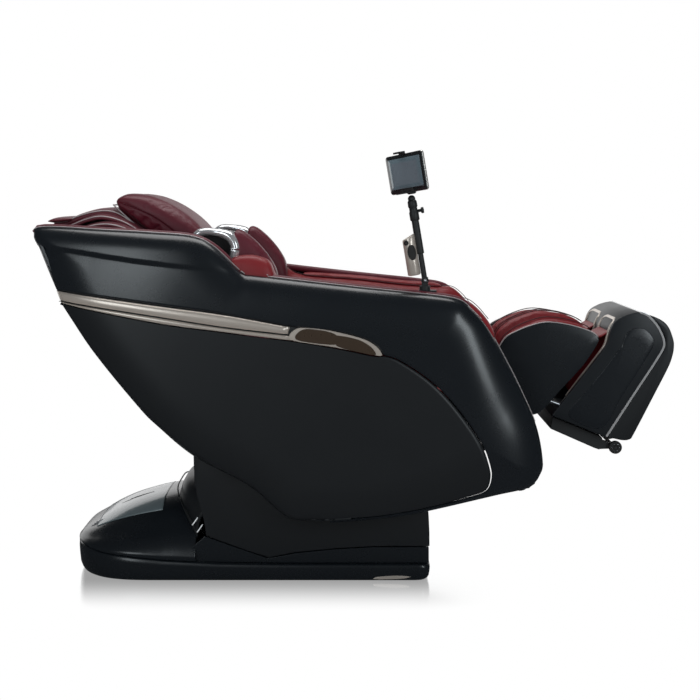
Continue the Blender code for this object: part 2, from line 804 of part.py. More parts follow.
def head_pillow():
    outline = body_points([
        (-0.745, 1.153), (-0.728, 1.166), (-0.690, 1.168), (-0.628, 1.158), (-0.573, 1.132),
        (-0.503, 1.080),
        (-0.452, 1.020), (-0.440, 0.978), (-0.472, 0.958), (-0.530, 0.990), (-0.600, 1.028),
        (-0.650, 1.062),
    ])
    return burgundy(slab("head_pillow", outline, -PILLOW_WIDTH / 2, PILLOW_WIDTH / 2, bevel=0.010))


def shoulder_unit(side):
    outline = body_points([
        (-0.466, 1.050), (-0.445, 1.066), (-0.377, 1.060), (-0.337, 1.050), (-0.273, 0.981),
        (-0.245, 0.940),
        (-0.238, 0.860), (-0.300, 0.800), (-0.440, 0.860), (-0.480, 0.960),
    ])
    low, high = sorted((side * (HALF_SEAT - 0.017), side * (HALF_SEAT + 0.055)))
    return burgundy(slab(name_of("shoulder_unit", side), outline, low, high, bevel=0.008))


def arm_liner(side):
    """The padded inner wall of an arm, between the seat and the side cover."""
    outline = ARM_TOP + body_points([
        (0.372, 0.740), (0.340, 0.700), (0.300, 0.640), (0.200, 0.570), (0.050, 0.520), (-0.100, 0.530),
        (-0.200, 0.620), (-0.232, 0.790),
    ])
    low, high = sorted((side * ARM_IN, side * (BODY_IN - 0.001)))
    return burgundy(slab(name_of("arm_liner", side), outline, low, high, bevel=0.010))


TRACK_SIDE = 0.135


def track_rail(side):
    places = [(x, side * TRACK_SIDE, z) for x, z in arc_of_track(0.955, -109, -150, 14)]
    return steel(tube(name_of("track_rail", side), places, RAIL_RADIUS, 2))


# The massage mechanism, which travels along the rails

MECHANISM_ANGLE = -122
WHEEL_SIDE = 0.055


def polar_slab(name, radii, half_angle, low, high, helper=False):
    """A block across the chair between two radii of the track, at the mechanism's place."""
    inner = arc_of_track(radii[0], MECHANISM_ANGLE - half_angle, MECHANISM_ANGLE + half_angle, 4)
    outer = arc_of_track(radii[1], MECHANISM_ANGLE + half_angle, MECHANISM_ANGLE - half_angle, 4)
    return slab(name, inner + outer, low, high, helper=helper)


def mech_carriage():
    reach = TRACK_SIDE - RAIL_RADIUS - CLEAR
    block = polar_slab("mech_carriage", (0.944, 0.984), 3.4, -reach, reach)
    post = polar_slab("mech_post", (0.897, 0.950), 1.2, -0.038, 0.038, helper=True)
    axle = across("mech_axle", track_point(0.906, MECHANISM_ANGLE), -0.070, 0.070, 0.006, 32,
                  helper=True)
    return dark_metal(join(block, post, axle))


def knead_wheel(side):
    centre = track_point(0.906, MECHANISM_ANGLE)
    half = KNEAD_WIDTH / 2
    low, high = side * WHEEL_SIDE - half, side * WHEEL_SIDE + half
    bore, rim = 0.006 + 0.00012, KNEAD_RADIUS
    profile = [(bore, high), (rim - 0.004, high), (rim, high - 0.005), (rim, low + 0.005),
               (rim - 0.004, low),
               (bore, low), (bore, high)]
    return black_rubber(turned(name_of("knead_wheel", side), profile, centre))


# The leg rest, which turns at the knee, and the foot unit, which slides on it

HALF_LEG = LEG_WIDTH / 2
CALF_SIDE = leg_points([
    (0.410, 0.642), (0.396, 0.650), (0.391, 0.664), (0.400, 0.680), (0.426, 0.704), (0.430, 0.722),
    (0.446, 0.738), (0.514, 0.772), (0.555, 0.784), (0.616, 0.780),
    (0.683, 0.765), (0.722, 0.745), (0.729, 0.724), (0.686, 0.656), (0.619, 0.580), (0.553, 0.504),
    (0.505, 0.500), (0.455, 0.560),
])
CALF_INNER = HALF_LEG - CALF_WALL


def calf_side(side):
    """A gloss side of the calf unit, with the hinge pin that runs in the body's side plate."""
    low, high = sorted((side * CALF_INNER, side * HALF_LEG))
    kx, kz = knee()
    plate = slab(name_of("calf_side", side), CALF_SIDE, low, high)
    reach = sorted((side * (HALF_LEG - CALF_WALL / 2), side * (FRAME_OUT + 0.001)))
    pin = across(name_of("knee_pin", side), (kx, kz), *reach, HINGE_PIN_RADIUS, 48, helper=True)
    return gloss_black(join(plate, pin))


def calf_tray():
    """The slanted floor of the two calf wells, with a rib under its middle."""
    floor = leg_points([(0.442, 0.640), (0.603, 0.569), (0.593, 0.556), (0.437, 0.628)])
    reach = CALF_INNER - TOUCH
    plate = slab("calf_tray", floor, -reach, reach)
    rib = leg_points([(0.450, 0.628), (0.590, 0.564), (0.560, 0.528), (0.500, 0.515), (0.470, 0.560)])
    return dark_metal(join(plate, slab("calf_rib", rib, -0.020, 0.020, helper=True)))


def calf_pad(name, low, high, lift=0.0):
    outline = leg_points([
        (0.446, 0.6435), (0.438, 0.700), (0.446, 0.745), (0.514, 0.786), (0.556, 0.799), (0.618, 0.795),
        (0.680, 0.778), (0.716, 0.754), (0.718, 0.725), (0.680, 0.662), (0.612, 0.572),
    ])
    raised = [(x, z + lift * LEG_LENGTH / DRAWN_LEG) if z > outline[0][1] + 0.07 else (x, z) for x,
              z in outline]
    return burgundy(slab(name, raised, low, high, bevel=0.006))


FOOT_SIDE = leg_points([
    (0.590, 0.498), (0.753, 0.716), (0.764, 0.758), (0.782, 0.790), (0.812, 0.808), (0.850, 0.818),
    (0.879, 0.803), (0.905, 0.775), (0.925, 0.737), (0.926, 0.711), (0.906, 0.671), (0.757, 0.430),
])
FOOT_WELL = leg_points([
    (0.560, 0.560), (0.738, 0.478), (0.886, 0.716), (0.862, 0.774), (0.800, 0.770), (0.720, 0.735),
    (0.600, 0.700),
])
ROLLER_AT = leg_points([(0.778, 0.590)])[0]
WELL_IN = 0.028
WELL_OUT = HALF_LEG - 0.020


def foot_box():
    """The foot unit's case, with a well for each foot and a bore for the sole roller's shaft."""
    case = slab("foot_box", FOOT_SIDE, -HALF_LEG, HALF_LEG)
    wells = [slab(name_of("foot_well", side), FOOT_WELL, *sorted((side * WELL_IN, side * WELL_OUT)),
                  helper=True)
             for side in (-1, 1)]
    bore = across("roller_bore", ROLLER_AT, -WELL_OUT - 0.008, WELL_OUT + 0.008, 0.0065, 24,
                  helper=True)
    return gloss_black(cut(case, *wells, bore))


def sole_roller():
    """One shaft with a drum in each foot well."""
    shaft, drum = 0.0063, ROLLER_RADIUS
    low, high = WELL_IN + 0.008, WELL_OUT - 0.008
    end = WELL_OUT + 0.006
    profile = [(0, end), (shaft, end), (shaft, high), (drum, high), (drum, low), (shaft, low),
               (shaft, -low), (drum, -low), (drum, -high), (shaft, -high), (shaft, -end), (0, -end)]
    return black_rubber(turned("sole_roller", profile, ROLLER_AT, 24))


def sole_plate():
    outline = leg_points([
        (0.885, 0.8035), (0.911, 0.775), (0.931, 0.739), (0.932, 0.709), (0.912, 0.668), (0.766, 0.432),
        (0.800, 0.422), (0.832, 0.424), (0.943, 0.645), (0.959, 0.695), (0.959, 0.728), (0.940, 0.771),
    ])
    half = HALF_LEG - 0.010
    return satin_charcoal(slab("sole_plate", outline, -half, half, bevel=0.004))


WHEEL_AT = leg_points([(0.792, 0.394)])[0]
WHEEL_Y = HALF_LEG - 0.030


def foot_rail():
    """The bar under the foot unit that slides on the calf unit, and carries the wheels' axles."""
    bar = leg_points([(0.598, 0.488), (0.752, 0.424), (0.762, 0.400), (0.745, 0.384), (0.728, 0.390),
                      (0.592, 0.450)])
    inner = WHEEL_Y - WHEEL_WIDTH / 2 - 0.002
    rail = slab("foot_rail", bar, -inner, inner, bevel=0.002)
    arm = leg_points([(0.735, 0.405), (0.755, 0.412), (0.800, 0.400), (0.800, 0.388), (0.745, 0.386)])
    parts = [slab(name_of("wheel_arm", side), arm, *sorted((side * (inner - 0.030), side * inner)),
                  helper=True)
             for side in (-1, 1)]
    reach = WHEEL_Y + WHEEL_WIDTH / 2 + 0.002
    axle = across("wheel_axle", WHEEL_AT, -reach, reach, AXLE_RADIUS, 24, helper=True)
    return dark_metal(join(rail, *parts, axle))


def foot_wheel(side):
    half = WHEEL_WIDTH / 2
    low, high = side * WHEEL_Y - half, side * WHEEL_Y + half
    bore, rim = AXLE_RADIUS + 0.0002, WHEEL_RADIUS
    profile = [(bore, high), (rim - 0.003, high), (rim, high - 0.003), (rim, low + 0.003),
               (rim - 0.003, low),
               (bore, low), (bore, high)]
    return black_rubber(turned(name_of("foot_wheel", side), profile, WHEEL_AT, 24))


# The tablet on its stand

def stand_axis():
    foot = Vector((STAND_FOOT[0], STAND_SIDE, STAND_FOOT[1]))
    top = Vector((STAND_TOP[0], STAND_SIDE, STAND_TOP[1]))
    return foot, top, (top - foot).normalized()


def stand_bracket():
    """Two flat legs from the arm up to the plate that the stand turns on."""
    x, z = STAND_FOOT
    plate = box("stand_bracket", (x - 0.018, STAND_SIDE - 0.014, z - 0.034),
                (x + 0.034, STAND_SIDE + 0.014, z - 0.028))
    foot = ARM_HEIGHT + 0.002
    legs = [box(f"bracket_leg_{i}", (x + dx, STAND_SIDE - 0.008, foot),
                (x + dx + 0.008, STAND_SIDE + 0.008, z - 0.030),
                helper=True) for i, dx in enumerate((-0.013, 0.020))]
    return dark_metal(join(plate, *legs))


def stand_knob():
    """The swivel block, with the two cheeks that hold the pole's foot."""
    x, z = STAND_FOOT
    base = cylinder("stand_knob", (x, STAND_SIDE, z - 0.0277), (x, STAND_SIDE, z - 0.016), 0.016, 28)
    cheeks = [box(f"knob_cheek_{i}", (x - 0.009, STAND_SIDE + a, z - 0.018),
                  (x + 0.009, STAND_SIDE + a + 0.004, z + 0.010),
                  helper=True) for i, a in enumerate((-0.0135, 0.0095))]
    pin = across("knob_pin", (x, z), STAND_SIDE - 0.018, STAND_SIDE + 0.018, 0.004, 24, helper=True)
    return dark_metal(join(base, *cheeks, pin))


def stand_pole():
    foot, top, along = stand_axis()
    pole = cylinder("stand_pole", foot + along * 0.004, top - along * 0.012, POLE_RADIUS, 20)
    x, z = STAND_FOOT
    eye = across("pole_eye", (x, z), STAND_SIDE - 0.009, STAND_SIDE + 0.009, 0.011, 28, helper=True)
    join(pole, eye)
    ball = bmesh.new()
    bmesh.ops.create_uvsphere(ball, u_segments=20, v_segments=12, radius=0.011)
    mesh = bpy.data.meshes.new("pole_ball")
    ball.to_mesh(mesh)
    ball.free()
    mesh.transform(Matrix.Translation(top - along * 0.010))
    join(pole, mesh_object("pole_ball", mesh, helper=True))
    hole = across("pole_hole", (x, z), STAND_SIDE - 0.02, STAND_SIDE + 0.02, 0.0043, 24, helper=True)
    return dark_metal(cut(pole, hole))


def grip_holder():
    """The champagne cylinder that clips beside the pole, with a thumb notch in its side."""
    foot, _, along = stand_axis()
    aside = Vector((-along.z, 0, along.x)).normalized() * (POLE_RADIUS + 0.0195)
    low = foot + aside + along * 0.020
    high = foot + aside + along * 0.140
    grip = cylinder("grip_holder", low, high, 0.019, 24)
    lid = box("grip_slant", (-0.05, -0.05, 0), (0.05, 0.05, 0.05), helper=True)
    lid.data.transform(Matrix.Translation(high - along * 0.012) @ Matrix.Rotation(math.radians(-32),
                                                                                  4, "Y"))
    notch_at = foot + aside + along * 0.098
    notch = cylinder("thumb_notch", notch_at + Vector((0, -0.03, 0)),
                     notch_at + Vector((0, -0.011, 0)), 0.010, 20, helper=True)
    return champagne(cut(grip, lid, notch))


def tablet_frame():
    """The tablet's own axes: across its width, along its height and out of its screen."""
    _, top, along = stand_axis()
    turn = math.radians(58)
    facing = Vector((-math.sin(turn), -math.cos(turn), 0))
    facing = (facing - along * facing.dot(along)).normalized()
    width = along.cross(facing).normalized()
    return top, width, along, facing


def tablet_block(name, low, high, bevel=0.0, helper=False):
    """A block given in the tablet's axes, from the top of the pole."""
    top, width, along, facing = tablet_frame()
    turn = Matrix((width, along, facing)).transposed().to_4x4()
    block = box(name, low, high, helper=helper)
    block.data.transform(Matrix.Translation(top) @ turn)
    return rounded(block, bevel) if bevel else block


TABLET_LIFT = 0.012


BARREL_RADIUS = 0.009
BARREL_UP = 0.0125
BARREL_BACK = -0.004


def tablet_tilt_centre():
    top, _, along, facing = tablet_frame()
    return top + along * BARREL_UP + facing * BARREL_BACK


def tablet_joint():
    """The barrel on the ball, which the clamp tilts about."""
    width = tablet_frame()[1]
    centre = tablet_tilt_centre()
    return dark_metal(cylinder("tablet_joint", centre - width * 0.013, centre + width * 0.013,
                               BARREL_RADIUS, 24))


def tablet_clamp():
    """The back plate of the clamp and its lower lip."""
    front = BARREL_BACK + BARREL_RADIUS + 0.0006
    plate = tablet_block("tablet_clamp", (-0.034, 0.008, front),
                         (0.034, TABLET_LIFT + TABLET_HEIGHT * 0.72, 0.011))
    lip = tablet_block("clamp_lip", (-0.030, 0.008, 0.009), (0.030, TABLET_LIFT - 0.001, 0.030),
                       helper=True)
    return dark_metal(join(plate, lip))


def tablet_body():
    rear = 0.0113
    half = TABLET_WIDTH / 2
    body = tablet_block("tablet_body", (-half, TABLET_LIFT, rear),
                        (half, TABLET_LIFT + TABLET_HEIGHT, rear + TABLET_DEPTH),
                        0.003)
    return finish(body, (0.02, 0.022, 0.026), 0.15)


def tablet_jaw():
    """The upper jaw of the clamp, which slides up to free the tablet."""
    top_edge = TABLET_LIFT + TABLET_HEIGHT
    rear = 0.0107
    jaw = tablet_block("tablet_jaw", (-0.014, TABLET_LIFT + TABLET_HEIGHT * 0.74, 0.0065),
                       (0.014, top_edge + 0.006, rear))
    hook = tablet_block("jaw_hook", (-0.014, top_edge + 0.0008, 0.008),
                        (0.014, top_edge + 0.006, rear + 0.0185),
                        helper=True)
    return dark_metal(join(jaw, hook))


def build():
    clear_scene()
    bpy.context.scene.collection.children.link(collection)
    bpy.context.scene.collection.children.link(cutters)
    cutters.hide_render = True

    base_tray()
    nose_cover()
    boot_collar()
    for side in (-1, 1):
        pedestal_skirt(side)
        slide_rail(side)
    pedestal_wall("rear_cover", REAR_WALL_X, 0.2875, 0.405)
    pedestal_wall("front_cover", 0.196, TRAY_DEPTH + TOUCH, 0.260)
    air_pump()
    power_inlet()
    rocker = power_switch()

    slider = carriage()
    shaft = pivot_shaft()
    motor = recline_tube()
    rod = recline_rod()

    body = [make(side) for side in (-1, 1)
            for make in (side_shell, side_panel, trim_strip, seat_frame, shoulder_unit, arm_liner,
                         track_rail)]
    body += [back_shell(), cross_member(), seat_pan(), seat_cushion(), back_cushion(), head_pad(),
             head_pillow(),
             stand_bracket()]
    mechanism = mech_carriage()
    kneaders = [knead_wheel(-1), knead_wheel(1)]

    calf_low, calf_high = CALF_INNER - TOUCH - CALF_PAD, CALF_INNER - TOUCH
    legs = [calf_side(-1), calf_side(1), calf_tray(), calf_pad("calf_pad_right", -calf_high, -calf_low),
            calf_pad("calf_pad_left", calf_low, calf_high),
            calf_pad("calf_pad_centre", -CALF_CENTRE_PAD / 2, CALF_CENTRE_PAD / 2, 0.008)]
    feet = [foot_box(), sole_plate(), foot_rail()]
    roller = sole_roller()
    wheels = [foot_wheel(-1), foot_wheel(1)]

    knob = stand_knob()
    pole = [stand_pole(), grip_holder()]
    barrel = tablet_joint()
    holder = [tablet_clamp(), tablet_body()]
    jaw = tablet_jaw()

    centre = track_point(0, 0)
    wheel_axis = track_point(0.906, MECHANISM_ANGLE)
    joints = [
        ("switch_joint", (base_points([(REAR_WALL_X, 0)])[0][0], ROCKER_SIDE, INLET_HEIGHT), [rocker]),
        ("seat_slide_joint", (PIVOT[0], 0, RAIL_TOP), [slider, shaft]),
        ("recline_tube_joint", (LINK_FOOT[0], 0, LINK_FOOT[1]), [motor]),
        ("recline_rod_joint", tuple(link_axis()[1]), [rod]),
        ("body_tilt_joint", (PIVOT[0], 0, PIVOT[1]), body),
        ("massage_joint", (centre[0], 0, centre[1]), [mechanism]),
        ("knead_joint", (wheel_axis[0], 0, wheel_axis[1]), kneaders),
        ("knee_joint", (knee()[0], 0, knee()[1]), legs),
        ("foot_slide_joint", (ROLLER_AT[0], 0, ROLLER_AT[1]), feet),
        ("roller_joint", (ROLLER_AT[0], 0, ROLLER_AT[1]), [roller]),
        ("wheel_joint", (WHEEL_AT[0], 0, WHEEL_AT[1]), wheels),
        ("stand_swivel_joint", (STAND_FOOT[0], STAND_SIDE, STAND_FOOT[1]), [knob]),
        ("stand_tilt_joint", (STAND_FOOT[0], STAND_SIDE, STAND_FOOT[1]), pole),
        ("tablet_swivel_joint", tuple(stand_axis()[1]), [barrel]),
        ("tablet_tilt_joint", tuple(tablet_tilt_centre()), holder + [jaw]),
    ]
    for name, place, objects in joints:
        parent_all(name, place, objects)


build()
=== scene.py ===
"""The looks of a reclining massage chair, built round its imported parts.

Lengths are in metres. +X points to the feet, +Y to the user's left side and +Z up.
"""

import math

import bmesh
import bpy
import numpy as np
from bpy.props import FloatProperty, FloatVectorProperty, PointerProperty
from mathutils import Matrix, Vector


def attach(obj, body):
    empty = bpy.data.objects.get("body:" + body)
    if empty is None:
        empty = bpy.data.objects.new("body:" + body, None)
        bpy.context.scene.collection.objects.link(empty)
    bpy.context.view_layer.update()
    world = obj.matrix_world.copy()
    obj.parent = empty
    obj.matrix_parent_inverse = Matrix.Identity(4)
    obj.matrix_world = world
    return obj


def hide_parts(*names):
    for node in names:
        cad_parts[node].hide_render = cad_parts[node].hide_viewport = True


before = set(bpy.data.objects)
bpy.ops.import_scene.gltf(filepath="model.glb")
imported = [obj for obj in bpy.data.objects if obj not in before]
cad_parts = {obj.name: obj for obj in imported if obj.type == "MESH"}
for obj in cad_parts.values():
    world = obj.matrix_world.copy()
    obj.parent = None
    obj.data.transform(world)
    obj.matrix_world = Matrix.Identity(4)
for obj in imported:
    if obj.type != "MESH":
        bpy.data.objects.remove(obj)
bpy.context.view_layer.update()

bl_info = {
    "name": "Massage Chair",
    "version": (1, 0, 0),
    "blender": (4, 5, 0),
    "location": "View3D > Sidebar > Massage Chair",
    "description": "Builds the covers, leather and fittings of a reclining massage chair",
    "category": "Add Mesh",
}

# Side-view outlines of the body, as (X, Z)
RIM = [
    (-0.953, 1.048), (-0.930, 1.074), (-0.743, 1.066), (-0.600, 1.058), (-0.486, 1.047),
    (-0.423, 1.017), (-0.344, 0.945), (-0.300, 0.934), (-0.028, 0.902), (0.200, 0.878),
    (0.290, 0.863), (0.332, 0.830), (0.376, 0.781), (0.435, 0.679), (0.480, 0.591), (0.525, 0.488),
    (0.545, 0.394), (0.541, 0.345), (0.505, 0.302), (0.411, 0.278), (0.207, 0.233), (0.081, 0.214),
    (-0.087, 0.200),
]
RIM_CORNER = (0.200, 0.878)
TRIM_TOP = [
    (-0.886, 0.894), (-0.587, 0.853), (-0.394, 0.827), (-0.201, 0.792), (-0.080, 0.778),
    (0.007, 0.757), (0.047, 0.735),
]
MOULDING_FOOT = [(-0.880, 0.864), (-0.587, 0.820), (-0.394, 0.790), (-0.207, 0.768), (-0.190, 0.765)]
TRIM_FOOT = [
    (-0.876, 0.856), (-0.587, 0.801), (-0.395, 0.775), (-0.196, 0.750), (-0.080, 0.731),
    (0.007, 0.714), (0.050, 0.705),
]
SEAM_LINE = [
    (0.070, 0.708), (0.117, 0.692), (0.204, 0.634), (0.278, 0.560), (0.352, 0.457), (0.382, 0.383),
    (0.388, 0.338), (0.374, 0.299), (0.324, 0.2785), (0.207, 0.248), (0.060, 0.224),
    (-0.087, 0.212),
]
REAR = [
    (-0.874, 0.850), (-0.783, 0.711), (-0.656, 0.553), (-0.593, 0.488), (-0.486, 0.399),
    (-0.326, 0.311), (-0.215, 0.2180), (-0.135, 0.2110),
]
CREASE = [(-0.960, 1.022), (-0.930, 1.020), (-0.830, 1.006), (-0.688, 0.984), (-0.545, 0.966),
          (-0.380, 0.950)]
BADGE = [
    (-0.204, 0.764), (-0.181, 0.785), (-0.141, 0.786), (-0.080, 0.778), (0.007, 0.756),
    (0.047, 0.734), (0.064, 0.712), (0.058, 0.706), (0.007, 0.715), (-0.080, 0.732),
    (-0.187, 0.749),
]
TAGS = {-1: "right", 1: "left"}
SIDES = tuple(TAGS.items())
HALF_WIDTH = 0.42
EDGE_ROUND = 0.050
EDGE_BAND = 0.125
SEAM = 0.0035
BASE_HALF = 0.30


# Curves and grids

def smooth(points, count, closed=False):
    """A Catmull-Rom curve through 2-D or 3-D points, read at equal steps of its length."""
    given = np.array(points, float)
    if closed:
        padded = np.vstack([given[-1], given, given[0], given[1]])
    else:
        padded = np.vstack([2 * given[0] - given[1], given, 2 * given[-1] - given[-2]])
    t = np.linspace(0, 1, 17)[:-1, None]
    pieces = [
        0.5 * (2 * b + (c - a) * t + (2 * a - 5 * b + 4 * c - d) * t**2 + (3 * b - a - 3 * c + d) * t**3)
        for a, b, c, d in zip(padded, padded[1:], padded[2:], padded[3:])
    ]
    dense = np.vstack([*pieces, padded[-2] if not closed else given[0]])
    return read_even(dense, count + 1 if closed else count)[: count if closed else None]


def read_even(dense, count):
    """Points at equal steps of length along a dense line."""
    steps = np.linalg.norm(np.diff(dense, axis=0), axis=1)
    along = np.concatenate([[0], np.cumsum(steps)])
    wanted = np.linspace(0, along[-1], count)
    return np.stack([np.interp(wanted, along, dense[:, i]) for i in range(dense.shape[1])], axis=1)


def aside(curve, distance):
    """A side-view curve moved to its left by a distance."""
    along = np.gradient(curve, axis=0)
    along /= np.linalg.norm(along, axis=1)[:, None]
    return curve + np.stack([-along[:, 1], along[:, 0]], axis=1) * distance


BODY_EDGE = np.vstack([smooth(RIM, 160), smooth(REAR, 70)[::-1]])


def crease_step(points):
    """How far the cover steps in under the head end's crease, fading downwards and forwards."""
    x, z = points[:, 0], points[:, 1]
    line = smooth(CREASE, 80)
    below = np.interp(x, line[:, 0], line[:, 1]) - z
    fade = np.clip((-0.36 - x) / 0.42, 0, 1) ** 0.8
    step = 1 / (1 + np.exp(-below / 0.0022))
    return 0.013 * fade * step * np.exp(-np.clip(below, 0, None) / 0.085)


def skin(points):
    """Half the width at side-view points: flat in the middle, a quarter ellipse at the outline."""
    points = np.asarray(points).reshape(-1, 2)
    start = BODY_EDGE
    along = np.roll(start, -1, axis=0) - start
    nearest = np.full(len(points), 1e9)
    for a, d in zip(start, along):
        apart = points - a
        share = np.clip((apart @ d) / max(d @ d, 1e-12), 0, 1)
        nearest = np.minimum(nearest, np.linalg.norm(apart - share[:, None] * d, axis=1))
    x, z = points[:, 0], points[:, 1]
    front = np.clip((x + 0.8 * (0.9 - z) - 0.22) / 0.50, 0, 1) * np.clip((x + 0.05) / 0.50, 0, 1)
    front = front * front * (3 - 2 * front)
    into = 1 - np.clip(nearest / (EDGE_BAND + 0.075 * front), 0, 1)
    rounding = 1 - np.sqrt(np.clip(1 - into**2.4, 0, 1))
    head = np.clip((-0.50 - x) / 0.42, 0, 1.1) ** 2
    return HALF_WIDTH - (EDGE_ROUND + 0.030 * front) * rounding - 0.028 * head - crease_step(points)


def between(first, second, shares):
    """Curves in between two matched curves, one for each share from 0 to 1."""
    shares = np.asarray(shares)[:, None, None]
    return np.asarray(first)[None] * (1 - shares) + np.asarray(second)[None] * shares


# Meshes

def dress(obj, material, body, stands_for=()):
    """Gives a piece its material, its body and the parts that it stands for."""
    obj.data.materials.clear()
    obj.data.materials.append(material)
    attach(obj, body)
    if stands_for:
        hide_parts(*stands_for)
    return obj


def from_arrays(name, points, faces, soft=True):
    mesh = bpy.data.meshes.new(name)
    mesh.from_pydata(np.asarray(points, float).tolist(), [], [list(f) for f in np.asarray(faces).tolist()])
    mesh.validate()
    if soft:
        mesh.shade_smooth()
    obj = bpy.data.objects.new(name, mesh)
    bpy.context.scene.collection.objects.link(obj)
    return obj


def grid_faces(rows, columns, ring_rows=False, ring_columns=False):
    """Four-sided faces of a grid of points. A ring joins its last row or column to its first."""
    index = np.arange(rows * columns).reshape(rows, columns)
    if ring_rows:
        index = np.vstack([index, index[:1]])
    if ring_columns:
        index = np.hstack([index, index[:, :1]])
    quads = np.stack([index[:-1, :-1], index[:-1, 1:], index[1:, 1:], index[1:, :-1]], axis=2)
    return quads.reshape(-1, 4)


def volume_of(mesh):
    mesh.calc_loop_triangles()
    points = np.empty(len(mesh.vertices) * 3)
    mesh.vertices.foreach_get("co", points)
    corners = np.empty(len(mesh.loop_triangles) * 3, np.int32)
    mesh.loop_triangles.foreach_get("vertices", corners)
    return np.linalg.det(points.reshape(-1, 3)[corners.reshape(-1, 3)]).sum()


def tidy_solid(obj, join=1e-5):
    """Joins doubled points at seams and poles, and turns a closed shape's faces outwards."""
    made = bmesh.new()
    made.from_mesh(obj.data)
    bmesh.ops.remove_doubles(made, verts=made.verts, dist=join)
    bmesh.ops.dissolve_degenerate(made, edges=made.edges, dist=1e-7)
    made.to_mesh(obj.data)
    made.free()
    if volume_of(obj.data) < 0:
        obj.data.flip_normals()
    return obj


def sheet(name, grid, wall, towards):
    """A grid of points as a curved wall that faces towards, with its thickness behind."""
    rows, columns = grid.shape[:2]
    middle = grid[rows // 2, columns // 2]
    across = grid[rows // 2, min(columns // 2 + 1, columns - 1)] - middle
    along = grid[min(rows // 2 + 1, rows - 1), columns // 2] - middle
    faces = grid_faces(rows, columns)
    if np.cross(across, along) @ np.asarray(towards, float) < 0:
        faces = faces[:, ::-1]
    obj = from_arrays(name, grid.reshape(-1, 3), faces)
    if wall:
        solid = obj.modifiers.new("wall", "SOLIDIFY")
        solid.thickness = wall
        solid.offset = -1
    return obj


def tube(name, path, radius, sides=10, ring=False, flat=1.0, up=(0, 0, 1)):
    """A round or flattened rod: a ring of points carried along a path, square to it."""
    path = np.asarray(path, float)
    radius = np.broadcast_to(np.asarray(radius, float), len(path))
    if ring:
        along = np.roll(path, -1, axis=0) - np.roll(path, 1, axis=0)
    else:
        along = np.gradient(path, axis=0)
    along /= np.linalg.norm(along, axis=1)[:, None]
    first = np.cross(along, np.asarray(up, float))
    if np.linalg.norm(first, axis=1).min() < 1e-3:
        first = np.cross(along, (0.8, 0.6, 0.0))
    first /= np.linalg.norm(first, axis=1)[:, None]
    second = np.cross(along, first)
    turn = np.linspace(0, 2 * math.pi, sides, endpoint=False)
    rings = (
        path[:, None]
        + first[:, None] * (np.cos(turn)[None, :, None] * radius[:, None, None] * flat)
        + second[:, None] * (np.sin(turn)[None, :, None] * radius[:, None, None])
    )
    if ring:
        obj = from_arrays(name, rings.reshape(-1, 3), grid_faces(len(path), sides, True, True))
        return tidy_solid(obj)
    rings = np.concatenate([np.repeat(path[:1, None], sides, 1), rings,
                            np.repeat(path[-1:, None], sides, 1)])
    obj = from_arrays(name, rings.reshape(-1, 3), grid_faces(len(rings), sides, False, True))
    if volume_of(tidy_solid(obj, 1e-6).data) == 0:
        raise ValueError(f"{name} has no volume")
    return obj


def pad(name, top, foot, low, high, length=60, sides=44, square=3.4, ends=9.0):
    """A crowned pad: a superellipse carried along the gap between a top and a foot curve.

    At each step the section is as high as the gap and as wide as low to high. Towards both
    ends it shrinks to a point along another superellipse.
    """
    top, foot = smooth(top, 400), smooth(foot, 400)
    t = (1 - np.cos(np.linspace(0, math.pi, length))) / 2
    pick = np.linspace(0, 1, 400)
    top = np.stack([np.interp(t, pick, top[:, i]) for i in range(2)], axis=1)
    foot = np.stack([np.interp(t, pick, foot[:, i]) for i in range(2)], axis=1)
    shrink = np.clip(1 - np.abs(2 * t - 1) ** ends, 0, 1) ** (1 / ends)
    shrink[0] = shrink[-1] = 0
    turn = np.linspace(0, 2 * math.pi, sides, endpoint=False)
    across = np.sign(np.cos(turn)) * np.abs(np.cos(turn)) ** (2 / square)
    upright = np.sign(np.sin(turn)) * np.abs(np.sin(turn)) ** (2 / square)
    middle, half = (top + foot) / 2, (top - foot) / 2
    side = middle[:, None] + half[:, None] * upright[None, :, None] * shrink[:, None, None]
    y = (low + high) / 2 + (high - low) / 2 * across[None] * shrink[:, None]
    grid = np.stack([side[..., 0], y, side[..., 1]], axis=2)
    obj = from_arrays(name, grid.reshape(-1, 3), grid_faces(length, sides, False, True))
    return tidy_solid(obj, 1e-6)


def plate(name, outline, low, high, edge=0.004, crown=0.0, rings=9):
    """A block across the chair: a closed side-view outline, with rounded edges and faces crowned by a dome.

    From each face's rim the outline shrinks to its middle, and the face rises as 1 minus the
    square of that share.
    """
    outline = np.asarray(outline, float)
    middle = outline.mean(axis=0)
    inward = middle - outline
    inward /= np.linalg.norm(inward, axis=1)[:, None]
    turn = np.linspace(0, math.pi / 2, 5)
    rounded = [(outline + inward * edge * (1 - math.cos(a)), edge * (1 - math.sin(a))) for a in turn[::-1]]
    shares = np.linspace(0, 1, rings)[1:] ** 0.8
    rim = outline + inward * edge
    face = [(rim * (1 - s) + middle * s, -crown * (1 - (1 - s) ** 2)) for s in shares[::-1]]
    half = face + rounded
    rows = [np.insert(curve, 1, low + depth, axis=1) for curve, depth in half]
    rows += [np.insert(curve, 1, high - depth, axis=1) for curve, depth in half[::-1]]
    grid = np.stack(rows)
    obj = from_arrays(name, grid.reshape(-1, 3), grid_faces(len(rows), len(outline), False, True))
    return tidy_solid(obj, 1e-6)


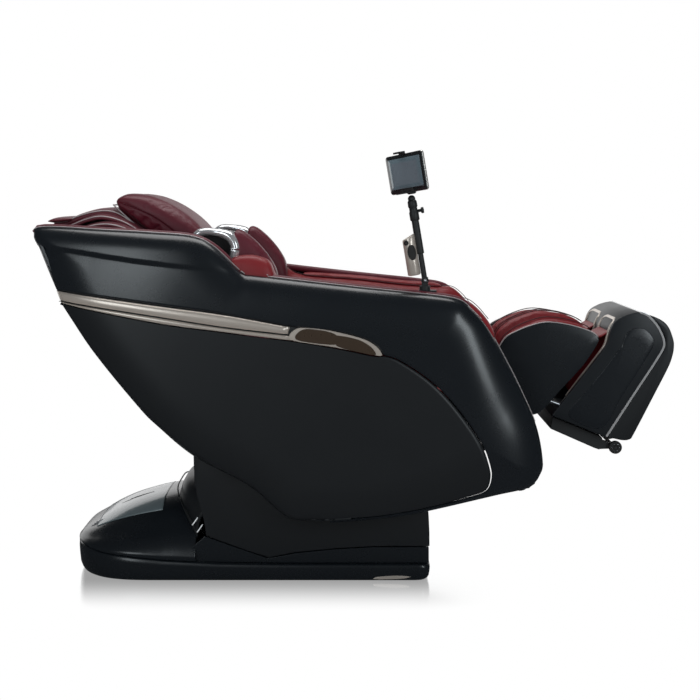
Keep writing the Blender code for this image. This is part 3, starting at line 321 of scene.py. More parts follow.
def turned(name, profile, centre, axis=(0, 1, 0), steps=48):
    """A turned piece: a profile of (radius, distance along the axis) carried round the axis."""
    profile = np.asarray(profile, float)
    line = Vector(axis).normalized()
    first = line.orthogonal().normalized()
    second = line.cross(first)
    turn = np.linspace(0, 2 * math.pi, steps, endpoint=False)
    spoke = np.cos(turn)[:, None] * np.array(first) + np.sin(turn)[:, None] * np.array(second)
    grid = np.asarray(centre) + profile[:, 0][:, None, None] * spoke[None] \
        + profile[:, 1][:, None, None] * np.array(line)
    obj = from_arrays(name, grid.reshape(-1, 3), grid_faces(len(profile), steps, False, True))
    return tidy_solid(obj, 1e-6)


def joined(name, objects):
    """Several meshes as one."""
    made = bmesh.new()
    for obj in objects:
        made.from_mesh(obj.data)
        bpy.data.objects.remove(obj)
    mesh = bpy.data.meshes.new(name)
    made.to_mesh(mesh)
    made.free()
    mesh.shade_smooth()
    obj = bpy.data.objects.new(name, mesh)
    bpy.context.scene.collection.objects.link(obj)
    return obj


def stitches(name, path, spacing=0.0065, length=0.0042, radius=0.0006):
    """Short thread dashes along a path, each a small closed rod."""
    path = np.asarray(path, float)
    total = np.linalg.norm(np.diff(path, axis=0), axis=1).sum()
    count = max(int(total / spacing), 2)
    spots = read_even(path, count * 4)
    dashes = []
    for i in range(1, count):
        a, b = spots[i * 4 - 1], spots[i * 4]
        way = (b - a) / max(np.linalg.norm(b - a), 1e-9) * length
        dashes.append(tube("dash", [a, a + way / 2, a + way], [radius * 0.8, radius, radius * 0.8], 5))
    return joined(name, dashes)


def puff(obj, voxel=0.006, pressure=4.0, cap=0.008):
    """Fills a pad by cloth simulation: blown up for twenty steps, with each point's travel capped."""
    scene = bpy.context.scene
    remesh = obj.modifiers.new("voxels", "REMESH")
    remesh.mode = "VOXEL"
    remesh.voxel_size = voxel
    settle(obj)
    rest = np.empty(len(obj.data.vertices) * 3)
    obj.data.vertices.foreach_get("co", rest)
    cloth = obj.modifiers.new("cloth", "CLOTH")
    cloth.settings.use_pressure = True
    cloth.settings.uniform_pressure_force = pressure
    cloth.settings.effector_weights.gravity = 0
    cloth.settings.quality = 4
    cloth.point_cache.frame_start = 1
    cloth.point_cache.frame_end = 20
    for step in range(1, 21):
        scene.frame_set(step)
    swollen = np.empty_like(rest)
    obj.evaluated_get(bpy.context.evaluated_depsgraph_get()).data.vertices.foreach_get("co", swollen)
    scene.frame_set(1)
    obj.modifiers.remove(cloth)
    travel = (swollen - rest).reshape(-1, 3)
    far = np.linalg.norm(travel, axis=1)
    travel *= np.minimum(1, cap / np.maximum(far, 1e-9))[:, None]
    obj.data.vertices.foreach_set("co", (rest.reshape(-1, 3) + travel).ravel())
    finer = obj.modifiers.new("finer", "SUBSURF")
    finer.levels = finer.render_levels = 1
    settle(obj)
    return obj


def settle(obj):
    """Applies all of an object's modifiers."""
    bpy.context.view_layer.update()
    held = obj.evaluated_get(bpy.context.evaluated_depsgraph_get())
    mesh = bpy.data.meshes.new_from_object(held)
    obj.modifiers.clear()
    old = obj.data
    obj.data = mesh
    bpy.data.meshes.remove(old)
    mesh.shade_smooth()


def shape_points(obj, change):
    """Moves a mesh's points by a function of their places and normals."""
    count = len(obj.data.vertices)
    points, normals = np.empty(count * 3), np.empty(count * 3, np.float32)
    obj.data.vertices.foreach_get("co", points)
    obj.data.vertex_normals.foreach_get("vector", normals)
    moved = points.reshape(-1, 3) + change(points.reshape(-1, 3), normals.reshape(-1, 3))
    obj.data.vertices.foreach_set("co", moved.ravel())
    obj.data.update()
    return obj


# Settings in the sidebar

def colour(name, about, value):
    return FloatVectorProperty(name=name, description=about, default=value, subtype="COLOR", size=3,
                               min=0, max=1)


class ChairFinishes(bpy.types.PropertyGroup):
    gloss: colour("Gloss cover", "Colour of the lacquered covers", (0.0065, 0.0085, 0.011))
    satin: colour("Satin cover", "Colour of the satin side panels and the pedestal",
                  (0.0085, 0.0100, 0.0118))
    trim: colour("Moulding", "Colour of the champagne mouldings", (0.60, 0.535, 0.475))
    badge: colour("Badge inlay", "Colour of the inlay in the badge", (0.085, 0.058, 0.040))
    leather: colour("Leather", "Colour of the head, shoulder and back leather", (0.095, 0.0075, 0.0170))
    bright_leather: colour("Seat leather", "Colour of the arm, seat and calf leather",
                           (0.185, 0.0085, 0.0125))
    piping: colour("Piping", "Colour of the silver piping", (0.44, 0.40, 0.40))


class ChairSizes(bpy.types.PropertyGroup):
    piping: FloatProperty(name="Piping", description="Radius of the piping", default=0.0021, unit="LENGTH")
    rim_piping: FloatProperty(name="Rim piping", description="Radius of the cord along the covers' rim",
                              default=0.0017, unit="LENGTH")
    cover_wall: FloatProperty(name="Cover wall", description="Thickness of the covers", default=0.004,
                              unit="LENGTH")
    swell: FloatProperty(name="Swell", description="How far the filling may push a pad's cover",
                         default=0.007,
                         unit="LENGTH")


def finishes():
    return bpy.context.scene.chair_finishes


def sizes():
    return bpy.context.scene.chair_sizes


# Shader node groups

def socket(tree, name, kind, way="INPUT", value=None):
    made = tree.interface.new_socket(name=name, in_out=way, socket_type=kind)
    if value is not None:
        made.default_value = value
    return made


def node(tree, kind, values=None, **settings):
    made = tree.nodes.new(kind)
    for key, value in settings.items():
        setattr(made, key, value)
    for key, value in (values or {}).items():
        made.inputs[key].default_value = value
    return made


def math_node(tree, operation, first, second=0.0, third=None):
    """A Math node whose inputs are sockets or numbers."""
    made = node(tree, "ShaderNodeMath", operation=operation)
    for i, given in enumerate((first, second, third)):
        if isinstance(given, bpy.types.NodeSocket):
            tree.links.new(given, made.inputs[i])
        elif given is not None:
            made.inputs[i].default_value = given
    return made.outputs[0]


def group_named(name):
    """A node group and whether it still has to be filled."""
    if name in bpy.data.node_groups:
        return bpy.data.node_groups[name], False
    return bpy.data.node_groups.new(name, "ShaderNodeTree"), True


def grain_group():
    """Leather grain: pebbles from the distance to the nearest cell edge, over slow folds."""
    tree, new = group_named("Leather grain")
    if not new:
        return tree
    socket(tree, "Pebbles per metre", "NodeSocketFloat", value=620.0)
    socket(tree, "Folds per metre", "NodeSocketFloat", value=26.0)
    socket(tree, "Height", "NodeSocketFloat", "OUTPUT")
    socket(tree, "Mottle", "NodeSocketFloat", "OUTPUT")
    inside = node(tree, "NodeGroupInput")
    out = node(tree, "NodeGroupOutput")
    place = node(tree, "ShaderNodeTexCoord")
    cells = node(tree, "ShaderNodeTexVoronoi", {"Randomness": 1.0}, feature="DISTANCE_TO_EDGE")
    folds = node(tree, "ShaderNodeTexNoise", {"Detail": 4.0, "Roughness": 0.6})
    for texture, key in ((cells, "Pebbles per metre"), (folds, "Folds per metre")):
        tree.links.new(place.outputs["Object"], texture.inputs["Vector"])
        tree.links.new(inside.outputs[key], texture.inputs["Scale"])
    pebble = math_node(tree, "MINIMUM", math_node(tree, "MULTIPLY", cells.outputs["Distance"], 4.0), 1.0)
    height = math_node(tree, "ADD", math_node(tree, "MULTIPLY", pebble, 0.35), folds.outputs["Fac"])
    tree.links.new(height, out.inputs["Height"])
    tree.links.new(folds.outputs["Fac"], out.inputs["Mottle"])
    return tree


def handling_group():
    """Faint marks of handling: a roughness that drifts a little from place to place."""
    tree, new = group_named("Handling marks")
    if not new:
        return tree
    socket(tree, "Roughness", "NodeSocketFloat", value=0.2)
    socket(tree, "Drift", "NodeSocketFloat", value=0.05)
    socket(tree, "Scale", "NodeSocketFloat", value=9.0)
    socket(tree, "Roughness", "NodeSocketFloat", "OUTPUT")
    socket(tree, "Dust", "NodeSocketFloat", "OUTPUT")
    inside = node(tree, "NodeGroupInput")
    out = node(tree, "NodeGroupOutput")
    place = node(tree, "ShaderNodeTexCoord")
    slow = node(tree, "ShaderNodeTexNoise", {"Detail": 6.0, "Roughness": 0.65, "Distortion": 0.4})
    tree.links.new(place.outputs["Object"], slow.inputs["Vector"])
    tree.links.new(inside.outputs["Scale"], slow.inputs["Scale"])
    centred = math_node(tree, "SUBTRACT", slow.outputs["Fac"], 0.5)
    drift = math_node(tree, "MULTIPLY", centred, math_node(tree, "MULTIPLY", inside.outputs["Drift"], 2.0))
    tree.links.new(math_node(tree, "ADD", inside.outputs["Roughness"], drift), out.inputs["Roughness"])
    specks = node(tree, "ShaderNodeTexNoise", {"Scale": 900.0, "Detail": 2.0})
    tree.links.new(place.outputs["Object"], specks.inputs["Vector"])
    tree.links.new(math_node(tree, "GREATER_THAN", specks.outputs["Fac"], 0.72), out.inputs["Dust"])
    return tree


def brushing_group():
    """Fine brushing along X: noise that is stretched along the strokes."""
    tree, new = group_named("Brushing")
    if not new:
        return tree
    socket(tree, "Strokes per metre", "NodeSocketFloat", value=2400.0)
    socket(tree, "Height", "NodeSocketFloat", "OUTPUT")
    inside = node(tree, "NodeGroupInput")
    out = node(tree, "NodeGroupOutput")
    place = node(tree, "ShaderNodeTexCoord")
    stretch = node(tree, "ShaderNodeMapping", {"Scale": (0.02, 1.0, 1.0)})
    noise = node(tree, "ShaderNodeTexNoise", {"Detail": 3.0})
    tree.links.new(place.outputs["Object"], stretch.inputs["Vector"])
    tree.links.new(stretch.outputs["Vector"], noise.inputs["Vector"])
    tree.links.new(inside.outputs["Strokes per metre"], noise.inputs["Scale"])
    tree.links.new(noise.outputs["Fac"], out.inputs["Height"])
    return tree


# Materials

def material(name, base, rough, drift=0.03, bump=None, **shader_values):
    """A Principled material with drifting roughness. bump is (group, its values, strength, distance)."""
    if name in bpy.data.materials:
        return bpy.data.materials[name]
    made = bpy.data.materials.new(name)
    made.use_nodes = True
    tree = made.node_tree
    shader = tree.nodes["Principled BSDF"]
    shader.inputs["Base Color"].default_value = (*base, 1)
    for key, value in shader_values.items():
        shader.inputs[key.replace("_", " ")].default_value = value
    marks = node(tree, "ShaderNodeGroup", node_tree=handling_group())
    marks.inputs["Roughness"].default_value = rough
    marks.inputs["Drift"].default_value = drift
    tree.links.new(marks.outputs["Roughness"], shader.inputs["Roughness"])
    if bump:
        group, values, strength, distance = bump
        relief = node(tree, "ShaderNodeGroup", node_tree=group)
        for key, value in values.items():
            relief.inputs[key].default_value = value
        bumps = node(tree, "ShaderNodeBump", {"Strength": strength, "Distance": distance})
        tree.links.new(relief.outputs["Height"], bumps.inputs["Height"])
        tree.links.new(bumps.outputs["Normal"], shader.inputs["Normal"])
    made.diffuse_color = (*base, 1)
    return made


def blend_colours(tree, factor, first, second):
    """A colour between two, as a socket: first at factor 0, second at factor 1."""
    mix = node(tree, "ShaderNodeMix", {6: (*first, 1), 7: (*second, 1)}, data_type="RGBA")
    tree.links.new(factor, mix.inputs[0])
    return mix.outputs[2]


def tinted(made, base, deep, share=0.5):
    """Lets the leather's colour drift between two tones with the grain group's mottle."""
    tree = made.node_tree
    shader = tree.nodes["Principled BSDF"]
    relief = next(n for n in tree.nodes if n.type == "GROUP" and "Mottle" in n.outputs)
    slow = math_node(tree, "MULTIPLY", relief.outputs["Mottle"], share)
    mixed = blend_colours(tree, math_node(tree, "ADD", slow, 1 - share * 0.62), deep, base)
    tree.links.new(mixed, shader.inputs["Base Color"])
    return made


def gloss_lacquer():
    return material("Black lacquer", finishes().gloss, 0.27, 0.035, Coat_Weight=0.22, Coat_Roughness=0.16,
                    Specular_IOR_Level=0.48)


def satin_plastic():
    fine = (grain_group(), {"Pebbles per metre": 1500.0, "Folds per metre": 300.0}, 0.12, 0.0002)
    return material("Satin charcoal", finishes().satin, 0.40, 0.05, fine, Specular_IOR_Level=0.45)


def dark_plastic():
    fine = (grain_group(), {"Pebbles per metre": 1800.0, "Folds per metre": 260.0}, 0.2, 0.0003)
    return material("Black moulded plastic", (0.012, 0.013, 0.014), 0.5, 0.06, fine)


def champagne():
    brushed = (brushing_group(), {}, 0.10, 0.0002)
    return material("Champagne moulding", finishes().trim, 0.30, 0.05, brushed, Metallic=0.62)


def piping_finish():
    return material("Silver piping", finishes().piping, 0.33, 0.05, Metallic=0.55)


def chrome():
    return material("Polished chrome", (0.74, 0.74, 0.75), 0.12, 0.04, Metallic=0.72)


def steel():
    brushed = (brushing_group(), {}, 0.15, 0.0002)
    return material("Bright steel", (0.48, 0.49, 0.51), 0.3, 0.08, brushed, Metallic=1.0)


def painted_steel():
    fine = (grain_group(), {"Pebbles per metre": 900.0, "Folds per metre": 200.0}, 0.15, 0.0003)
    return material("Painted steel", (0.02, 0.021, 0.023), 0.42, 0.08, fine, Metallic=0.3)


def rubber():
    fine = (grain_group(), {"Pebbles per metre": 1300.0, "Folds per metre": 240.0}, 0.25, 0.0004)
    return material("Black rubber", (0.014, 0.014, 0.014), 0.72, 0.08, fine)


def leather(kind="wine"):
    base = finishes().leather if kind == "wine" else finishes().bright_leather
    name = "Wine leather" if kind == "wine" else "Red leather"
    if name in bpy.data.materials:
        return bpy.data.materials[name]
    grain = (grain_group(), {"Pebbles per metre": 640.0, "Folds per metre": 24.0}, 0.28, 0.0009)
    made = material(name, base, 0.44, 0.06, grain, Sheen_Weight=0.05, Sheen_Roughness=0.4,
                    Specular_IOR_Level=0.36, Coat_Weight=0.04, Coat_Roughness=0.3)
    deep = tuple(c * 0.62 for c in base)
    return tinted(made, base, deep)


def thread(kind="wine"):
    base = (0.045, 0.006, 0.010) if kind == "wine" else (0.055, 0.006, 0.008)
    return material("Stitching thread", base, 0.6, 0.05)


def sock_cloth():
    fine = (grain_group(), {"Pebbles per metre": 420.0, "Folds per metre": 60.0}, 0.5, 0.001)
    return material("Black lining cloth", (0.010, 0.009, 0.010), 0.85, 0.05, fine, Sheen_Weight=0.2)


# Covers of the tilting body

def rim_split(count_a, count_b):
    rim = smooth(RIM, 1400)
    corner = int(np.argmin(np.linalg.norm(rim - np.array(RIM_CORNER), axis=1)))
    return np.vstack([read_even(rim[: corner + 1], count_a), read_even(rim[corner:], count_b + 1)[1:]])


def seam_curve(count_a, count_b):
    return np.vstack([smooth(TRIM_TOP, count_a), smooth(SEAM_LINE, count_b)])


def cover_grid(flat, side, proud=0.0):
    width = skin(flat.reshape(-1, 2)).reshape(flat.shape[:2]) + proud
    return np.stack([flat[..., 0], side * width, flat[..., 1]], axis=2)


def turned_in(grid, side, depth, last=True):
    """Adds three rows that turn a cover's edge in towards the chair."""
    row = grid[-1] if last else grid[0]
    rows = [row + np.array([0, -side * depth * share, 0]) for share in (0.15, 0.5, 1.0)]
    return np.concatenate([grid, rows]) if last else np.concatenate([rows[::-1], grid])


def outwards(side):
    return (0, side, 0)


def side_cover(side):
    """The lacquered cover: curves between the trim with the seam and the rim, laid on the body's skin."""
    inner, outer = seam_curve(110, 190), rim_split(110, 190)
    shares = 1 - (1 - np.linspace(0, 1, 46)) ** 1.6
    grid = cover_grid(between(inner, outer, shares), side)
    grid = turned_in(turned_in(grid, side, 0.014), side, 0.010, last=False)
    obj = sheet(f"side_shell_cover_{TAGS[side]}", grid, sizes().cover_wall, outwards(side))
    return dress(obj, gloss_lacquer(), "body", [f"side_shell_{TAGS[side]}"])


def side_panel(side):
    """The satin panel: curves between the line under the trim and the rear edge, laid on the same skin."""
    seam = aside(smooth(SEAM_LINE, 170), -SEAM)
    upper = np.vstack([aside(smooth(TRIM_FOOT, 90), -SEAM), seam[1:]])
    lower = smooth(REAR, len(upper))
    shares = np.linspace(0, 1, 60)
    grid = cover_grid(between(upper, lower, shares), side, -0.0006)
    grid = turned_in(turned_in(grid, side, 0.020), side, 0.010, last=False)
    obj = sheet(f"side_panel_cover_{TAGS[side]}", grid, sizes().cover_wall, outwards(side))
    return dress(obj, satin_plastic(), "body", [f"side_panel_{TAGS[side]}"])


def moulding(name, upper, lower, side, height, rows=13):
    """A raised moulding between two curves: its section is a low arch of the given height over the skin."""
    shares = np.linspace(0, 1, rows)
    flat = between(upper, lower, shares)
    arch = height * (1 - np.abs(2 * shares - 1) ** 2.6)
    grid = cover_grid(flat, side, 0.0015)
    grid[..., 1] += side * arch[:, None]
    count = grid.shape[1]
    taper = np.minimum(1, np.minimum(np.arange(count), np.arange(count)[::-1]) / 3.0)
    grid[..., 1] -= side * (1 - taper)[None] * (arch[:, None] + 0.003)
    grid = turned_in(turned_in(grid, side, 0.009), side, 0.009, last=False)
    return sheet(name, grid, 0.0015, outwards(side))


def trim(side):
    """The broad and the thin champagne moulding, the dark bed between them and the badge with its inlay."""
    tag = TAGS[side]
    top = aside(smooth(TRIM_TOP[:4], 120), -SEAM)
    foot = smooth(MOULDING_FOOT[:4], 120)
    wide = moulding(f"trim_moulding_{tag}", top, foot, side, 0.0065)
    dress(wide, champagne(), "body", [f"trim_strip_{tag}"])
    low_top = aside(smooth(MOULDING_FOOT, 120), -0.0045)
    low_foot = smooth(TRIM_FOOT[:4], 120)
    thin = moulding(f"trim_bead_{tag}", low_top, low_foot, side, 0.0035, 9)
    dress(thin, champagne(), "body")
    shares = np.linspace(0, 1, 8)
    bed = cover_grid(between(smooth(TRIM_TOP, 140), smooth(TRIM_FOOT, 140), shares), side, -0.004)
    bed = sheet(f"trim_bed_{tag}", bed, 0.002, outwards(side))
    dress(bed, dark_plastic(), "body")
    outline = smooth(BADGE, 120, closed=True)
    frame_piece = badge_plate(f"badge_rim_{tag}", outline, side, 0.0, 0.0075, 0.003)
    dress(frame_piece, champagne(), "body")
    middle = outline.mean(axis=0)
    inward = middle - outline
    inward /= np.linalg.norm(inward, axis=1)[:, None]
    stretch = np.array([1.35, 0.62])
    inlay = badge_plate(f"badge_inlay_{tag}", outline + inward * stretch * 0.0135, side, 0.0045, 0.0086,
                        0.001)
    dress(inlay, material("Bronze inlay", finishes().badge, 0.28, 0.06, (brushing_group(), {}, 0.1, 0.0002),
                          Metallic=0.6, Coat_Weight=0.4), "body")


def badge_plate(name, outline, side, low, high, edge):
    """A plate on the skin: rings shrink from a closed outline to its middle, the first ones rounded."""
    middle = outline.mean(axis=0)
    shares = np.concatenate([[0, 0], np.linspace(0, 1, 10) ** 0.8])
    lift = np.concatenate([[low - 0.006, high - edge], [high - edge * 0.3], np.full(9, high)])
    inset = np.concatenate([[0, 0], [edge * 0.35], np.full(9, edge)])
    inward = middle - outline
    inward /= np.linalg.norm(inward, axis=1)[:, None]
    rows = []
    for share, up, into in zip(shares, lift, inset):
        flat = (outline + inward * into) * (1 - share) + middle * share
        width = skin(flat) + up
        rows.append(np.stack([flat[:, 0], side * width, flat[:, 1]], axis=1))
    grid = np.stack(rows)
    faces = grid_faces(len(rows), len(outline), False, True)
    obj = from_arrays(name, grid.reshape(-1, 3), faces)
    made = bmesh.new()
    made.from_mesh(obj.data)
    bmesh.ops.remove_doubles(made, verts=made.verts, dist=1e-6)
    bmesh.ops.holes_fill(made, edges=[e for e in made.edges if e.is_boundary], sides=0)
    bmesh.ops.recalc_face_normals(made, faces=made.faces)
    made.to_mesh(obj.data)
    made.free()
    if volume_of(obj.data) < 0:
        obj.data.flip_normals()
    obj.data.set_sharp_from_angle(angle=math.radians(50))
    return obj


REAR_PROFILE = [
    (-0.918, 1.068), (-0.940, 1.062), (-0.952, 1.044), (-0.936, 1.006), (-0.912, 0.950),
    (-0.886, 0.892), (-0.862, 0.845), (-0.825, 0.790), (-0.780, 0.728), (-0.715, 0.648),
    (-0.655, 0.580), (-0.618, 0.540),
]


def rear_cover():
    """The lacquered cover over the back and the head end: a side-view profile carried across the chair.

    It bulges to the rear by 1 minus the 2.4th power of the share of the half width.
    """
    profile = smooth(REAR_PROFILE, 90)
    out = aside(profile, 1.0) - profile
    if out[30, 0] > 0:
        out = -out
    span = np.linspace(-1, 1, 90)
    rise = np.linspace(0, 1, 90)
    bulge = 0.016 + 0.020 * np.sin(np.pi * np.clip(rise * 1.25 - 0.1, 0, 1)) ** 1.2
    reach = skin(profile + np.array([0.004, 0.0])) - 0.001
    share = (1 - np.abs(span) ** 2.4)[:, None, None]
    flat = profile[None] + out[None] * (bulge[None, :, None] * share - 0.0025)
    step = crease_step(profile) * 0.9
    flat = flat - out[None] * step[None, :, None]
    y = span[:, None] * reach[None]
    grid = np.stack([flat[..., 0], y, flat[..., 1]], axis=2)
    obj = sheet("rear_cover_shell", grid, 0.004, (-1, 0, -0.3))
    dress(obj, gloss_lacquer(), "body")


class CHAIR_OT_covers(bpy.types.Operator):
    """Builds the side covers, the satin panels and the rear cover"""

    bl_idname = "chair.covers"
    bl_label = "Covers"

    def execute(self, context):
        for side in (-1, 1):
            side_cover(side)
            side_panel(side)
        rear_cover()
        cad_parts["back_shell"].data.materials[0] = gloss_lacquer()
        return {"FINISHED"}


class CHAIR_OT_trim(bpy.types.Operator):
    """Builds the champagne mouldings and the badge on both sides"""

    bl_idname = "chair.trim"
    bl_label = "Mouldings and badge"

    def execute(self, context):
        for side in (-1, 1):
            trim(side)
        return {"FINISHED"}


def rim_line(side, drop=0.0, inset=0.004, start=0.0, end=0.62):
    """A line along the rim, inside the cover's edge."""
    rim = rim_split(200, 340)
    rim = rim[int(start * len(rim)): int(end * len(rim))]
    width = skin(rim) - inset
    return np.stack([rim[:, 0], side * width, rim[:, 1] + drop], axis=1)


class CHAIR_OT_rim(bpy.types.Operator):
    """Builds the cord and the leather roll along the covers' rim"""

    bl_idname = "chair.rim"
    bl_label = "Rim cord and roll"

    def execute(self, context):
        for side, tag in SIDES:
            cord = tube(f"rim_piping_{tag}", rim_line(side, 0.0022, 0.0075), sizes().rim_piping, 10)
            dress(cord, piping_finish(), "body")
            line = rim_line(side, -0.0015, 0.021, 0.004, 0.43)
            roll = tube(f"rim_roll_{tag}", line[::3], 0.0105, 16)
            dress(roll, leather(), "body")
            clip = rim_line(side, 0.006, 0.0075)
            near = clip[np.abs(clip[:, 0] + 0.286) < 0.020]
            second = tube(f"rim_clip_{tag}", near, 0.0019, 8)
            dress(second, chrome(), "body")
        across = np.linspace(-1, 1, 60)
        back = np.stack([-0.916 - 0.016 * (1 - across**2), across * 0.326, np.full(60, 1.071)], axis=1)
        roll = tube("rim_roll_rear", back, 0.0105, 16)
        dress(roll, leather(), "body")
        back[:, 0] -= 0.0125
        back[:, 2] -= 0.0035
        cord = tube("rim_piping_rear", back, sizes().rim_piping, 10)
        dress(cord, piping_finish(), "body")
        return {"FINISHED"}


# Leather

def soft(name, top, foot, low, high, kind="wine", body="body", stands_for=(), cap=None, fill=0.7,
         voxel=0.0065,
         change=None, finer=False, **shape):
    """A leather pad: its form, its filling, its grain, and what it stands for."""
    obj = pad(name, top, foot, low, high, **shape)
    puff(obj, voxel=voxel, cap=cap if cap is not None else sizes().swell)
    if finer:
        step = obj.modifiers.new("finer", "SUBSURF")
        step.levels = step.render_levels = 1
        settle(obj)
    if change:
        shape_points(obj, change)
    dress(obj, leather(kind), body, stands_for)
    return obj


def piping(name, path, radius=None, body="body"):
    cord = tube(name, path, radius or sizes().piping, 8)
    return dress(cord, piping_finish(), body)


def seam_cord(name, path, kind="wine", radius=0.0016, body="body"):
    """The dark welt where two covers are sewn together."""
    cord = tube(name, path, radius, 8)
    return dress(cord, thread(kind), body)


PILLOW_TOP = [
    (-0.748, 1.146), (-0.738, 1.160), (-0.715, 1.167), (-0.670, 1.165), (-0.628, 1.156),
    (-0.573, 1.131), (-0.515, 1.090), (-0.470, 1.040), (-0.445, 0.995),
]
PILLOW_FOOT = [
    (-0.744, 1.140), (-0.732, 1.128), (-0.712, 1.110), (-0.678, 1.078), (-0.642, 1.046),
    (-0.585, 1.008), (-0.530, 0.975), (-0.490, 0.958), (-0.455, 0.965),
]
PILLOW_SEAM = [(-0.725, 1.142), (-0.675, 1.124), (-0.625, 1.100), (-0.575, 1.066), (-0.525, 1.022),
               (-0.485, 0.985)]


def pillow_quilting(points, normals):
    """Ribs that fan out over the pillow's sides, each a raised arch, and a groove along the seam."""
    seam = smooth(PILLOW_SEAM, 120)
    flat = points[:, [0, 2]]
    apart = np.linalg.norm(flat[:, None] - seam[None], axis=2)
    nearest = apart.argmin(axis=1)
    distance = apart.min(axis=1)
    below = flat[:, 1] < seam[nearest, 1]
    along = nearest / 119
    phase = along * 6.2 + distance * 9.0
    rib = np.abs(np.sin(np.pi * phase)) ** 0.55 - 0.6
    zone = np.clip((along - 0.06) / 0.06, 0, 1) * np.clip((0.93 - along) / 0.08, 0, 1)
    zone = zone * np.clip((distance - 0.004) / 0.010, 0, 1) * below
    groove = -0.0035 * np.exp(-((distance / 0.0035) ** 2))
    side = np.clip((np.abs(normals[:, 1]) - 0.45) / 0.4, 0, 1)
    return normals * (side * (0.0060 * rib * zone + groove))[:, None]


class CHAIR_OT_pillow(bpy.types.Operator):
    """Builds the head pillow with its quilted sides, long seam and piping"""

    bl_idname = "chair.pillow"
    bl_label = "Head pillow"

    def execute(self, context):
        half = 0.186
        soft("pillow_cushion", PILLOW_TOP, PILLOW_FOOT, -half, half, stands_for=["head_pillow"], cap=0.008,
             voxel=0.0055, change=pillow_quilting, finer=True, square=6.5, ends=14, length=90, sides=64)
        for side, tag in SIDES:
            line = smooth(PILLOW_FOOT[:6], 60)
            path = np.stack([line[:, 0] - 0.003, np.full(60, side * (half - 0.012)), line[:, 1] - 0.001],
                            axis=1)
            piping(f"pillow_piping_{tag}", path)
            seam = smooth(PILLOW_SEAM, 90)
            row = np.stack([seam[:, 0] + 0.004, np.full(90, side * (half + 0.0035)), seam[:, 1] + 0.004],
                           axis=1)
            dots = stitches(f"pillow_stitches_{tag}", row, 0.0085, 0.0052, 0.0009)
            dress(dots, thread(), "body")
        across = np.linspace(-half + 0.012, half - 0.012, 40)
        rear = np.stack([np.full(40, -0.7475), across, np.full(40, 1.139)], axis=1)
        piping("pillow_piping_rear", rear)
        return {"FINISHED"}


def arch(name, line, half, thick, kind="wine", drop=0.012, stands_for=(), piped=True):
    """A padded flap over the head end: a side-view line with thickness, dropping at its sides."""
    line = smooth(line, 70)
    top, foot = aside(line, thick / 2), aside(line, -thick / 2)
    obj = pad(name, top, foot, -half, half, length=70, sides=56, square=5.0, ends=16)

    def droop(points, normals):
        share = np.clip(np.abs(points[:, 1]) / half, 0, 1) ** 3
        return np.stack([0 * share, 0 * share, -drop * share], axis=1)

    shape_points(obj, droop)
    dress(obj, leather(kind), "body", stands_for)
    if piped:
        for side, tag in SIDES:
            path = np.stack([top[:, 0], np.full(70, side * (half - 0.003)), top[:, 1] - drop - 0.002],
                            axis=1)
            piping(f"{name}_piping_{tag}", path[2:-2], 0.0019)
    return obj


class CHAIR_OT_head(bpy.types.Operator):
    """Builds the padded flaps that arch over the head end, and the deck below them"""

    bl_idname = "chair.head"
    bl_label = "Head flaps"

    def execute(self, context):
        arch("head_flap_low",
             [(-0.872, 1.052), (-0.820, 1.078), (-0.757, 1.090), (-0.700, 1.078), (-0.644, 1.048)],
             0.274, 0.013, stands_for=["head_pad"])
        arch("head_flap_middle", [(-0.922, 1.066), (-0.874, 1.081), (-0.820, 1.103),
                                  (-0.770, 1.111), (-0.705, 1.092), (-0.640, 1.048)], 0.224, 0.015)
        arch("head_flap_top", [(-0.934, 1.086), (-0.893, 1.089), (-0.850, 1.106), (-0.800, 1.119),
                               (-0.752, 1.119), (-0.712, 1.098), (-0.680, 1.066)], 0.178, 0.020, drop=0.008)
        lip = pad("head_flap_roll", [(-0.947, 1.090), (-0.930, 1.101), (-0.900, 1.103), (-0.872, 1.100)],
                  [(-0.947, 1.088), (-0.930, 1.082), (-0.900, 1.084), (-0.872, 1.092)], -0.205, 0.205,
                  square=2.6)
        dress(lip, leather(), "body")
        deck = smooth([(-0.925, 1.048), (-0.860, 1.036), (-0.760, 1.022), (-0.660, 1.004),
                       (-0.560, 0.972), (-0.480, 0.925)], 50)
        across = np.linspace(-1, 1, 40)
        grid = np.zeros((40, 50, 3))
        grid[..., 0] = deck[None, :, 0]
        grid[..., 1] = across[:, None] * 0.350
        grid[..., 2] = deck[None, :, 1] + 0.020 * np.abs(across[:, None]) ** 4
        floor = sheet("head_deck", grid, 0.006, (0, 0, 1))
        dress(floor, sock_cloth(), "body")
        return {"FINISHED"}


RING_OUTER = [(-0.500, 1.046), (-0.469, 1.070), (-0.420, 1.070), (-0.377, 1.061), (-0.356, 1.038),
              (-0.350, 1.012), (-0.357, 0.985), (-0.372, 0.962)]
RING_INNER = [(-0.492, 1.028), (-0.462, 1.049), (-0.425, 1.049), (-0.394, 1.036), (-0.380, 1.015),
              (-0.380, 0.994), (-0.386, 0.974), (-0.396, 0.955)]


